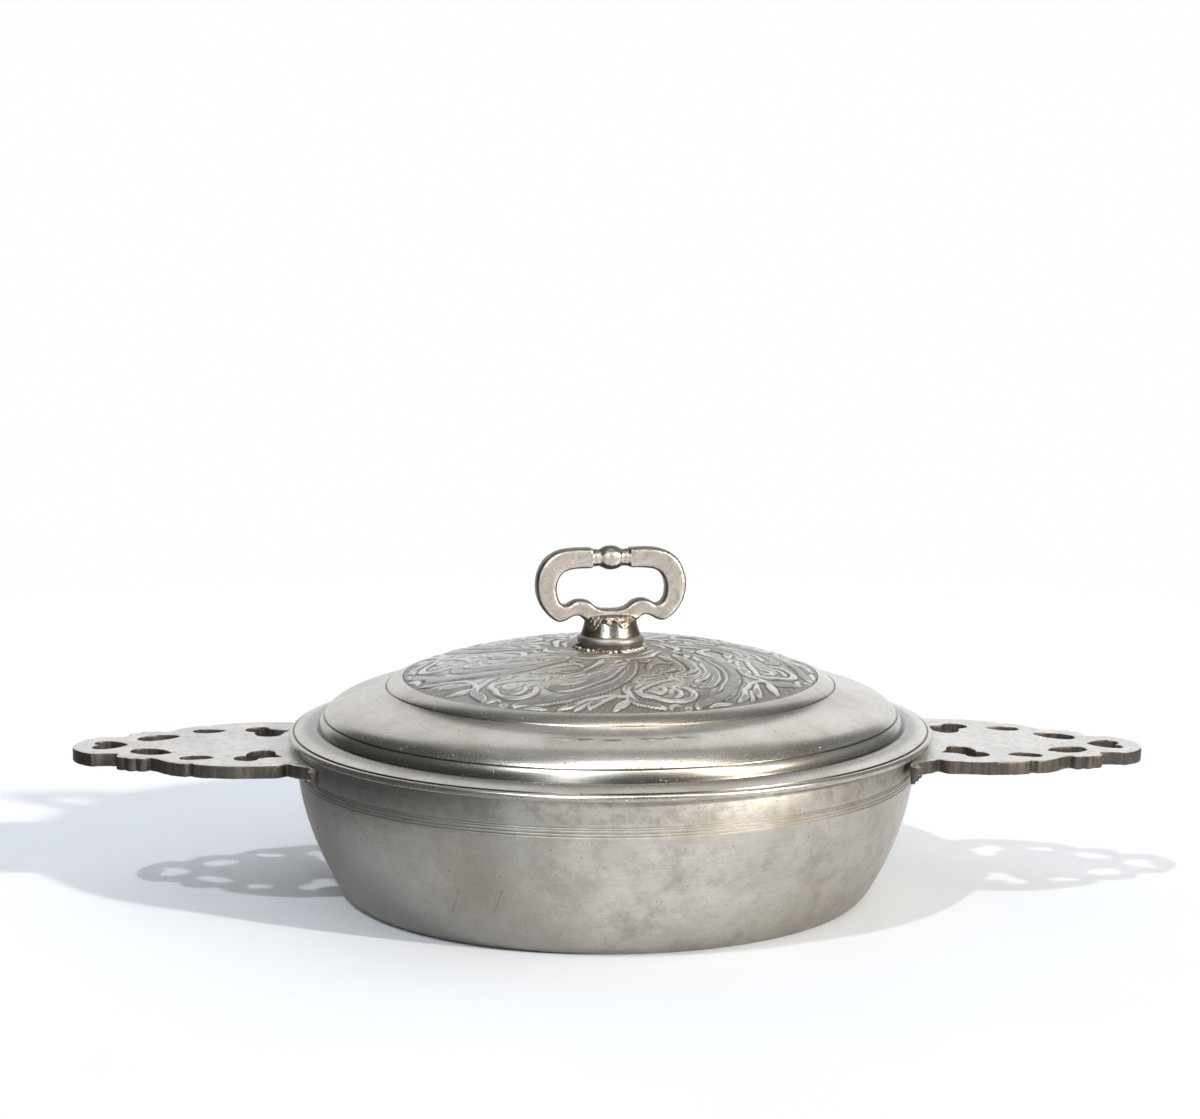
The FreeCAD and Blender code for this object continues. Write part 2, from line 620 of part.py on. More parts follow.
def make_ear(side, droop, half_turn):
    """A cast plate with its openings and claws, cut to the bowl's wall."""
    plate = doc.addObject("PartDesign::Body", f"ear_plate_{side}")
    outline = new_sketch(plate, f"ear_outline_{side}", "XY_Plane", S["ear_top"])
    outline.addGeometry(ear_outline(), False)
    pad = plate.newObject("PartDesign::Pad", f"ear_pad_{side}")
    pad.Profile = outline
    pad.Reversed = True
    bind(pad, "Length", S["ear_thickness"])
    plate.Tip = pad
    doc.recompute()
    before = pad.Shape.Volume
    openings = new_sketch(plate, f"ear_openings_{side}", "XY_Plane", S["ear_top"])
    for run in (COMMA, INNER_LEAF, OUTER_LEAF, EYE):
        openings.addGeometry(arc_run(run), False)
        openings.addGeometry(arc_run(mirrored_run(run)), False)
    openings.addGeometry(arc_run(DROP), False)
    pocket = plate.newObject("PartDesign::Pocket", f"ear_pierced_{side}")
    pocket.Profile = openings
    pocket.Type = "ThroughAll"
    plate.Tip = pocket
    doc.recompute()
    print(f"openings of the {side} ear take", round(before - pocket.Shape.Volume), "mm3")
    assert pocket.Shape.Volume < before - 100
    hang = FreeCAD.Placement(V(0, 0, 0), FreeCAD.Rotation(V(0, 1, 0), droop.value),
                             V(S["rim_radius"].value, 0, S["ear_top"].value))
    plate.Placement = half_turn * hang

    pieces = [plate]
    lean = FreeCAD.Rotation(V(0, 1, 0), S["claw_lean"].value)
    off_axis = S["rim_radius"].value + S["claw_gap"].value
    for sign in (1, -1):
        for step in range(3):
            claw = doc.addObject("Part::Cone", f"claw_{side}")
            bind(claw, "Radius1", S["claw_tip"])
            bind(claw, "Radius2", S["claw_top"])
            bind(claw, "Height", S["claw_length"])
            angle = sign * (S["claw_angle"].value + step * S["claw_step"].value)
            spin = FreeCAD.Placement(V(0, 0, 0), FreeCAD.Rotation(V(0, 0, 1), angle))
            stand = FreeCAD.Placement(V(off_axis, 0, S["claw_foot"].value), lean)
            claw.Placement = half_turn * spin * stand
            pieces.append(claw)
    casting = doc.addObject("Part::MultiFuse", f"ear_casting_{side}")
    casting.Shapes = pieces
    wall = doc.addObject("Part::Cylinder", f"wall_{side}")
    bind(wall, "Radius", S["rim_radius"])
    bind(wall, "Height", S["rim_height"])
    ear = doc.addObject("Part::Cut", f"ear_{side}")
    ear.Base = casting
    ear.Tool = wall
    ear.Label = f"ear_{side}"
    doc.recompute()
    return ear


# The solder in the corner below an ear, run along the wall
def make_ear_solder(side, ear, half_turn):
    under = S["ear_top"] - S["ear_thickness"]
    outer = S["rim_radius"] + S["ear_solder"]
    strip = turned(f"ear_seam_{side}", [
        (S["rim_radius"], under - S["ear_solder"]),
        (outer, under - S["ear_solder"] * 0.2),
        (outer, under + S["ear_solder"] * 0.4),
        (S["rim_radius"], under + S["ear_solder"] * 0.4),
    ])
    feature = strip.Tip
    feature.Midplane = True
    bind(feature, "Angle", S["ear_solder_angle"])
    strip.Placement = half_turn
    solder = doc.addObject("Part::Cut", f"ear_solder_{side}")
    solder.Base = strip
    solder.Tool = ear
    solder.Label = f"ear_solder_{side}"
    doc.recompute()
    return solder


AS_IS = FreeCAD.Placement()
TURNED_ROUND = FreeCAD.Placement(V(0, 0, 0), FreeCAD.Rotation(V(0, 0, 1), 180))
EAR_RIGHT = make_ear("right", S["droop_right"], AS_IS)
EAR_LEFT = make_ear("left", S["droop_left"], TURNED_ROUND)

PARTS = [
    make_bowl(),
    make_lid(),
    make_panel(),
    make_bezel(),
    make_socket(),
    make_foot_solder(),
    make_seam_solder(),
    make_loop(),
    EAR_RIGHT,
    EAR_LEFT,
    make_ear_solder("right", EAR_RIGHT, AS_IS),
    make_ear_solder("left", EAR_LEFT, TURNED_ROUND),
]

doc.recompute()
os.makedirs("parts", exist_ok=True)
for thing in doc.Objects:
    assert "Invalid" not in thing.State and "Error" not in thing.State, (thing.Label, thing.State)
for part in PARTS:
    assert not part.Shape.isNull() and part.Shape.isValid(), part.Label
for part in PARTS:
    part.Shape.exportStep(f"parts/{part.Label}.step")
    box = part.Shape.BoundBox
    print(f"{part.Label}: {len(part.Shape.Solids)} solid, {part.Shape.Volume / 1000:.2f} cm3,"
          f" x {box.XMin:.1f} to {box.XMax:.1f}, z {box.ZMin:.2f} to {box.ZMax:.2f}")
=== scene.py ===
# %% [markdown]
# A covered two-eared pewter broth bowl.
# The bowl and its lid are turned castings, the ears and the loop handle are cast
# in moulds, and solder joins them. The construction model gives every piece its
# size and place. This notebook gives the pieces their looks: worn edges, cast
# relief, solder, and the finish of old pewter.

# %% Load the frame
import math
import random

import bmesh
import bpy
import numpy as np
from mathutils import Matrix, Vector, noise


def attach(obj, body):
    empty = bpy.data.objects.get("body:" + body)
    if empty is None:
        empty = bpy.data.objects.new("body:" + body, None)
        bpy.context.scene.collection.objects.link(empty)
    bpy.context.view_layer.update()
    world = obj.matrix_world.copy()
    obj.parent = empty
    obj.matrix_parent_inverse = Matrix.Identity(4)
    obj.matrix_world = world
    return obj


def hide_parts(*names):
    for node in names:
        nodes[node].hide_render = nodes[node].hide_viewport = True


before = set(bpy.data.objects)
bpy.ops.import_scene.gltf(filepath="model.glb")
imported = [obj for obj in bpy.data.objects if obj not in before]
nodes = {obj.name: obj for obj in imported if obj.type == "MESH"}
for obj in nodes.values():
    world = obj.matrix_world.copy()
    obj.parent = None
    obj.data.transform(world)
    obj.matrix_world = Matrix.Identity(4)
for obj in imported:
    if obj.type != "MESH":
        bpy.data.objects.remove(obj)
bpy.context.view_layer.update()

MM = 0.001
scene = bpy.context.scene


def add_object(name, data):
    """A new object in the scene that shows the given mesh, camera or lamp."""
    thing = bpy.data.objects.new(name, data)
    scene.collection.objects.link(thing)
    return thing


print("nodes:", sorted(nodes))

# %% [markdown]
# Node trees are long to read as lists of links. The small class below wraps an
# output socket, so that sums of sockets can be written as Python sums. One more
# method adds any other node. It serves materials and geometry trees alike.

# %% Sockets that can be added and multiplied
def operator(operation, turned_round=False):
    """A method that joins a wire and another wire or number by a maths node."""
    def join(self, other):
        return self.maths(operation, *((other, self) if turned_round else (self, other)))
    return join


class Wire:
    """An output socket of a node tree that takes part in Python sums."""

    def __init__(self, tree, socket):
        self.tree = tree
        self.socket = socket

    def node(self, kind, settings=None, inputs=None, out=0):
        return add_node(self.tree, kind, settings, inputs, out)

    def other(self, name):
        """Another output of the node that this wire comes from."""
        return Wire(self.tree, self.socket.node.outputs[name])

    def maths(self, operation, *values):
        return self.node("ShaderNodeMath", {"operation": operation}, dict(enumerate(values)))

    __add__, __radd__ = operator("ADD"), operator("ADD", turned_round=True)
    __sub__, __rsub__ = operator("SUBTRACT"), operator("SUBTRACT", turned_round=True)
    __mul__, __rmul__ = operator("MULTIPLY"), operator("MULTIPLY", turned_round=True)
    __truediv__, __pow__ = operator("DIVIDE"), operator("POWER")

    def __neg__(self):
        return self.maths("MULTIPLY", self, -1.0)

    def fade(self, low, high):
        """0 below low, 1 above high, and smooth between them."""
        return self.node("ShaderNodeMapRange", {"interpolation_type": "SMOOTHSTEP"},
                         {"Value": self, "From Min": low, "From Max": high})


def add_node(tree, kind, settings=None, inputs=None, out=0):
    """Add a node: its settings first, then the values or links of its sockets."""
    node = tree.nodes.new(kind)
    for key, value in (settings or {}).items():
        if key == "stops":
            ramp = node.color_ramp
            while len(ramp.elements) < len(value):
                ramp.elements.new(0.5)
            for element, (place, colour) in zip(ramp.elements, value):
                element.position = place
                element.color = (*colour, 1.0)
        else:
            setattr(node, key, value)
    for key, value in (inputs or {}).items():
        socket = node.inputs[key]
        if isinstance(value, Wire):
            tree.links.new(value.socket, socket)
        else:
            socket.default_value = value
    return Wire(tree, node.outputs[out]) if len(node.outputs) else None


def empty_tree(owner):
    """The node tree of a material or world, with nothing in it."""
    owner.use_nodes = True
    owner.node_tree.nodes.clear()
    return owner.node_tree


def mix_colours(fac, first, second):
    """Between two colours, by a wire."""
    first = first if isinstance(first, Wire) else (*first, 1.0)
    second = second if isinstance(second, Wire) else (*second, 1.0)
    return fac.node("ShaderNodeMix", {"data_type": "RGBA"}, {0: fac, 6: first, 7: second}, 2)


def scaled(colour, by):
    """A colour with each part multiplied by a number."""
    return tuple(c * by for c in colour)


def coats(colour, *layers):
    """A colour under layers; each layer says how much it covers, and its colour."""
    for share, tone in layers:
        colour = mix_colours(share, colour, tone)
    return colour


print("node helpers ready")

# %% [markdown]
# The camera looks slightly down at the bowl from far away, as for a catalogue.
# The bowl stands turned by about two degrees before it, so the camera goes round
# by that angle and the bowl stays in its own frame.

# %% Camera
TURN = math.radians(-2.1)
CAMERA_PLACE = Matrix.Rotation(TURN, 4, "Z") @ (Vector((-2.9, -800.0, 206.24)) * MM)
CAMERA_DOWN = math.radians(8.127)
LENS = 87.54
SENSOR = 36.0
NEAREST = 0.01


def make_camera():
    data = bpy.data.cameras.new("camera")
    data.lens = LENS
    data.sensor_width = SENSOR
    data.clip_start = NEAREST
    camera = add_object("camera", data)
    camera.location = CAMERA_PLACE
    camera.rotation_euler = (math.pi / 2 - CAMERA_DOWN, 0.0, TURN)
    scene.camera = camera


make_camera()
scene.view_settings.view_transform = "Standard"
print("camera at", [round(v, 3) for v in CAMERA_PLACE])

# %% [markdown]
# The bowl stands on a pale cloth before a white wall. The cloth is a large plain
# sheet. It takes the shadows near the bowl and turns white with distance for the
# camera. Reflections see a white sheet behind the bowl only: the room in front and
# to the left was dark, and that darkness draws the mouldings.

# %% Floor and wall
CLOTH = (0.90, 0.925, 0.97)
WHITE = (0.99, 0.995, 1.0, 1.0)
SHEEN = (0.97, 0.98, 1.0, 1.0)
# How brightly reflections see the cloth: all round, behind the bowl, and on its right
CLOTH_ALL, CLOTH_BEHIND, CLOTH_RIGHT = 0.10, 0.95, 0.20
# The camera sees the cloth turn white over these distances, in metres
WHITE_BEHIND = (0.12, 0.9)
WHITE_AROUND = (0.35, 0.60)


def cloth_material():
    """Matt near the bowl, and far away plain white for the eye, by side for reflections."""
    material = bpy.data.materials.new("cloth")
    tree = empty_tree(material)
    place = add_node(tree, "ShaderNodeTexCoord", out="Object")
    soft = place.node("ShaderNodeTexNoise", None, {"Vector": place, "Scale": 5.0, "Detail": 3.0})
    tone = mix_colours(soft.fade(0.35, 0.7), CLOTH, scaled(CLOTH, 0.965))
    matt = place.node("ShaderNodeBsdfDiffuse", None, {"Color": tone})
    side = place.node("ShaderNodeSeparateXYZ", None, {0: place})
    depth = side.other("Y")
    around = (side * side + depth * depth) ** 0.5
    to_camera = add_node(tree, "ShaderNodeLightPath", out="Is Camera Ray")
    mirrored = to_camera.other("Is Glossy Ray")
    off_back = side.maths("ABSOLUTE", side) - depth * 0.7
    behind = depth.fade(-0.10, 0.30) * (1.0 - off_back.fade(0.02, 0.25))
    room = CLOTH_ALL + behind * CLOTH_BEHIND + side.fade(0.15, 0.60) * CLOTH_RIGHT
    white = place.node("ShaderNodeEmission", None, {"Color": WHITE, "Strength": 1.0})
    shown = place.node("ShaderNodeEmission", None, {"Color": SHEEN, "Strength": room})
    glow = place.node("ShaderNodeMixShader", None, {0: mirrored, 1: white, 2: shown})
    to_eye = depth.maths("MAXIMUM", depth.fade(*WHITE_BEHIND), around.fade(*WHITE_AROUND))
    to_metal = (around - side * 0.45 + depth * 0.5).fade(0.13, 0.27)
    far = depth.maths("MAXIMUM", to_eye * to_camera, to_metal * mirrored)
    whole = place.node("ShaderNodeMixShader", None, {0: far, 1: matt, 2: glow})
    add_node(tree, "ShaderNodeOutputMaterial", None, {"Surface": whole})
    return material


def make_stage():
    """A sheet that runs back from the bowl and rises into a wall; sizes in metres."""
    width = 6.0
    turn_from = 2.2
    radius = 0.9
    height = 3.4
    parts = 12
    run = [(y, 0.0) for y in (-0.9, -0.4, 0.0, 0.8, turn_from)]
    for part in range(1, parts + 1):
        angle = math.radians(90.0 * part / parts)
        run.append((turn_from + radius * math.sin(angle), radius * (1 - math.cos(angle))))
    run.append((turn_from + radius, height))
    mesh = bpy.data.meshes.new("cloth_and_wall")
    places = [(side * width / 2, y, z) for y, z in run for side in (-1, 1)]
    faces = [(2 * i, 2 * i + 1, 2 * i + 3, 2 * i + 2) for i in range(len(run) - 1)]
    mesh.from_pydata(places, [], faces)
    mesh.polygons.foreach_set("use_smooth", [True] * len(faces))
    mesh.materials.append(cloth_material())
    stage = add_object("cloth_and_wall", mesh)
    print("stage:", len(faces), "faces")


make_stage()

# %% [markdown]
# Metal shows the room more than its own colour. Two lamps far away throw the two
# sets of shadows: a high cool one from the front left, and a low warm one from
# the right. The sky stands for the rest of the room. It is white behind the bowl,
# fainter overhead, and dark on the camera's side, but for two upright lights that
# put bright strips on the mouldings. Without the dark side they would look flat.

# %% Light
LAMP_WIDTH = math.radians(2.2)
# The direction that each lamp shines from, its strength and its colour
LAMPS = {
    "high_lamp": ((-0.392, -0.461, 1.0), 0.85, (0.93, 0.97, 1.0)),
    "low_lamp": ((1.84, -1.28, 1.0), 2.4, (1.0, 0.95, 0.86)),
}
# How the white of the wall behind falls off from the horizon to the zenith
WALL_BY_HEIGHT = [(0.0, 1.0), (0.22, 0.92), (0.46, 0.47), (0.67, 0.38), (0.87, 0.28), (1.0, 0.16)]
# How bright the room is: all round, the wall behind, overhead, and on the right
ROOM_ALL, ROOM_WALL, ROOM_OVERHEAD, ROOM_RIGHT = 0.10, 1.15, 0.30, 0.16
# More light from all round for what is matt
FILL = 0.36
# Upright lights: degrees to the right of the camera, half width, strength
COOL_LIGHT = (-18.5, 0.065, 5.5)
WARM_LIGHT = (50.0, 0.06, 7.5)
LIGHT_EDGE = 0.05


def add_lamp(name, come_from, strength, colour):
    data = bpy.data.lights.new(name, "SUN")
    data.energy = strength
    data.angle = LAMP_WIDTH
    data.color = colour
    lamp = add_object(name, data)
    lamp.location = come_from
    lamp.rotation_euler = (-Vector(come_from)).to_track_quat("-Z", "Y").to_euler()


def upright_light(side, back, from_camera, half_width, strength):
    """An upright strip of the sky with soft edges, by its direction from the camera."""
    angle = math.radians(from_camera)
    across = side.maths("ABSOLUTE", side * math.cos(angle) + back * math.sin(angle))
    ahead = side * math.sin(angle) - back * math.cos(angle)
    strip = (1.0 - across.fade(half_width, half_width + LIGHT_EDGE)) * ahead.fade(0.02, 0.12)
    return strip * side.other("Z").fade(-0.02, 0.04) * strength


def make_sky():
    """A room by direction; the camera itself sees plain white."""
    world = bpy.data.worlds.new("studio")
    scene.world = world
    tree = empty_tree(world)
    way = add_node(tree, "ShaderNodeTexCoord", out="Generated")
    side = add_node(tree, "ShaderNodeSeparateXYZ", None, {0: way})
    back = side.other("Y")
    up = side.other("Z")
    mirrored = add_node(tree, "ShaderNodeLightPath", out="Is Glossy Ray")
    off_middle = side.maths("ABSOLUTE", side - 0.08)
    overhead = up.fade(0.82, 0.97) * (1.0 - off_middle.fade(0.15, 0.45)) * ROOM_OVERHEAD
    stops = [(height, (level, level, level)) for height, level in WALL_BY_HEIGHT]
    fall = up.node("ShaderNodeValToRGB", {"stops": stops}, {"Fac": up})
    off_wall = side.maths("ABSOLUTE", side - 0.04)
    wall = back.fade(0.0, 0.25) * (1.0 - off_wall.fade(0.26, 0.60)) * fall * ROOM_WALL
    right = side.fade(0.30, 0.80) * ROOM_RIGHT
    cool = upright_light(side, back, *COOL_LIGHT) * mirrored
    warm = upright_light(side, back, *WARM_LIGHT) * mirrored
    level = ROOM_ALL + wall + overhead + right + (1.0 - mirrored) * FILL + cool + warm
    tint = mix_colours(cool.fade(0.0, 1.0), (0.96, 0.98, 1.0), (0.92, 0.96, 1.0))
    tint = mix_colours(warm.fade(0.0, 1.0), tint, (1.0, 0.93, 0.80))
    room = up.node("ShaderNodeBackground", None, {"Color": tint, "Strength": level})
    white = up.node("ShaderNodeBackground", None, {"Color": WHITE, "Strength": 1.0})
    sky = up.node("ShaderNodeMixShader", None, {
        0: mirrored.other("Is Camera Ray"), 1: room, 2: white})
    add_node(tree, "ShaderNodeOutputWorld", None, {"Surface": sky})


make_sky()
for lamp_name, settings in LAMPS.items():
    add_lamp(lamp_name, *settings)
print("lamps:", ", ".join(LAMPS))

# %% [markdown]
# Old pewter is a soft grey metal with a warm tone. Its looks come from years of
# use: brown-grey patches, fine pits, and the fine rings that the lathe left. The
# class below holds the patterns that every piece uses, all in millimetres.

# %% Patterns in millimetres
PALE = (0.675, 0.642, 0.595)
DULL = (0.415, 0.383, 0.337)
STAIN = (0.20, 0.165, 0.13)
NO_SHIFT = (0.0, 0.0, 0.0)


class Finish:
    """A material in the making: its tree, and places on the piece in millimetres."""

    def __init__(self, name, middle=(0.0, 0.0)):
        self.material = bpy.data.materials.new(name)
        self.tree = empty_tree(self.material)
        place = add_node(self.tree, "ShaderNodeTexCoord", out="Object")
        self.place = place.node("ShaderNodeVectorMath", {"operation": "SCALE"}, {
            0: place, "Scale": 1.0 / MM})
        self.x = self.place.node("ShaderNodeSeparateXYZ", None, {0: self.place})
        self.y = self.x.other("Y")
        self.z = self.x.other("Z")
        across = self.x - middle[0]
        along = self.y - middle[1]
        self.radius = (across * across + along * along) ** 0.5

    def kept(self, name):
        """A number that is kept on each point of the piece."""
        return add_node(self.tree, "ShaderNodeAttribute", {"attribute_name": name}, out="Fac")

    def spot(self, centre, size, soft):
        """1 inside a ball of the given size round a point, and less towards its soft edge."""
        away = self.place.node("ShaderNodeVectorMath", {"operation": "DISTANCE"}, {
            0: self.place, 1: centre}, "Value")
        return 1.0 - away.fade(size - soft, size + soft)

    def noise(self, size, detail=3.0, roughness=0.5, shift=NO_SHIFT, stretch=(1.0, 1.0, 1.0)):
        """Soft noise with spots of about the given size."""
        moved = self.place.node("ShaderNodeMapping", None, {
            "Vector": self.place, "Location": shift, "Scale": stretch})
        return moved.node("ShaderNodeTexNoise", None, {
            "Vector": moved, "Scale": 1.0 / size, "Detail": detail, "Roughness": roughness})

    def line_noise(self, along, size, detail=2.0):
        """Noise that changes along one number only, which makes rings or bars."""
        return along.node("ShaderNodeTexNoise", {"noise_dimensions": "1D"}, {
            "W": along, "Scale": 1.0 / size, "Detail": detail, "Roughness": 0.6})

    def pits(self, size, amount, shift=NO_SHIFT):
        """1 in small round pits; amount is the share of the cells that have one."""
        moved = self.place.node("ShaderNodeMapping", None, {
            "Vector": self.place, "Location": shift})
        cells = moved.node("ShaderNodeTexVoronoi", {"feature": "F1"}, {
            "Vector": moved, "Scale": 1.0 / (size * 3.2), "Randomness": 1.0})
        lot = cells.node("ShaderNodeSeparateColor", None, {0: cells.other("Color")})
        return (1.0 - cells.fade(0.10, 0.26)) * (1.0 - lot.fade(amount - 0.02, amount + 0.02))

    def finish(self, colour, roughness, height, depth=0.10, metallic=1.0):
        """Close the tree with a metal shader; depth is how deep the bumps are."""
        bump = height.node("ShaderNodeBump", None, {
            "Height": height, "Strength": 1.0, "Distance": depth * MM})
        metal = height.node("ShaderNodeBsdfPrincipled", None, {
            "Base Color": colour, "Metallic": metallic, "Roughness": roughness, "Normal": bump})
        add_node(self.tree, "ShaderNodeOutputMaterial", None, {"Surface": metal})
        return self.material


def near(wire, value, inner, outer):
    """1 within inner of a value, and 0 farther than outer from it."""
    return 1.0 - wire.maths("ABSOLUTE", wire - value).fade(inner, outer)


print("tones:", PALE, DULL, STAIN)

# %% [markdown]
# Everything from the lathe has one finish, and each piece says how much of each
# mark it shows. Grime stays in turned grooves. The left side can be painted darker,
# as painted shade, and so can a ring below the lid's roll.

# %% Pewter from the lathe
LATHE_DEPTH = 0.12


def turned_pewter(name, along_sign, stain=0.5, wear=0.5, gloss=0.30, clouding=0.5, ripple=1.0,
                  shade_side=0.0, furrows=(), shaded_ring=None, middle=(0.0, 0.0), own_marks=None):
    """Pewter from the lathe; gloss is the roughness of a clean place, and shares end at 1.

    along_sign joins radius and height into one way along the profile. stain, wear
    and clouding are shares of dirt, of rings from the lathe, and of clouds. ripple
    is how uneven the face is. shade_side is how much darker the left side is
    painted, as painted shade. furrows are the radii of turned grooves, and between
    the two radii of the darker ring the metal is painted darker, as painted shade.
    middle is the axis of the lathe, and own_marks adds the marks that only this
    piece has.
    """
    f = Finish(name, middle)
    way = f.z + f.radius * along_sign
    clouds = f.noise(24.0, 5.0, 0.62)
    spots = f.noise(6.0, 6.0, 0.7, (31.0, 4.0, 9.0))
    grain = f.noise(0.5, 3.0, 0.6)
    patchy = f.noise(11.0, 3.0, 0.6, (3.0, 17.0, 5.0))
    rings = f.line_noise(way, 0.45, 3.0)
    wide_rings = f.line_noise(way + f.noise(60.0) * 1.2, 3.2)
    fine_pits = f.pits(0.20, 0.30)
    big_pits = f.pits(0.40, 0.09, (7.0, 3.0, 1.0))
    dirt = (spots * 0.55 + clouds * 0.6).fade(0.58, 0.80) * stain
    streaks = rings.fade(0.50, 0.75) * patchy.fade(0.35, 0.65) * wear
    # Painted shade: darker towards the left, a little less at the far left edge
    painted_left_shade = (1.0 - (f.x + (clouds - 0.5) * 60.0).fade(-62.0, 8.0)) * (
        1.0 - 0.55 * (-f.x).fade(77.0, 86.0))
    colour = mix_colours(clouds.fade(0.25, 0.75) * clouding + (1.0 - clouding), DULL, PALE)
    colour = coats(
        colour,
        (painted_left_shade * shade_side, (0.17, 0.165, 0.16)),
        (dirt, STAIN),
        (streaks * 0.35, DULL))
    # Painted shade: a ring below the roll painted darker, standing for its dark reflection
    if shaded_ring:
        start, end = shaded_ring
        ring_shade = f.radius.fade(start, start + 0.8) * (1.0 - f.radius.fade(end - 1.5, end + 1.5))
        colour = coats(colour, (ring_shade * (0.45 + clouds * 0.5), (0.15, 0.14, 0.125)))
    for furrow in furrows:
        colour = coats(colour, (near(f.radius, furrow, 0.12, 0.30) * 0.85, (0.05, 0.042, 0.035)))
    if own_marks:
        colour = own_marks(f, colour)
    colour = coats(colour, (fine_pits * 0.55 + big_pits * 0.45, (0.06, 0.05, 0.045)))
    rough = gloss + dirt * 0.14 + grain * 0.05 + wide_rings * 0.05
    uneven = (clouds * 0.5 + rings * 0.08 + grain * 0.05 * ripple + wide_rings * 0.25) * ripple
    return f.finish(colour, rough, uneven - fine_pits * 0.5 - big_pits * 0.9, LATHE_DEPTH)


bezel = nodes["lid_bezel"].data
bezel.materials.clear()
bezel.materials.append(turned_pewter("bezel_pewter", 1.0, stain=0.4, wear=0.6))
print("bezel dressed with", bezel.materials[0].name)

# %% [markdown]
# The domed middle of the lid carries a cast relief of flowing bands, leaves, a
# row of beads and a shell, repeated seven times round the handle. It could be
# painted with a bump only, but its dark furrows show from every side, so it is
# real height. One repeat is written as strokes: places as degrees from the start
# of the repeat and millimetres from the axis, each with half the stroke's width.

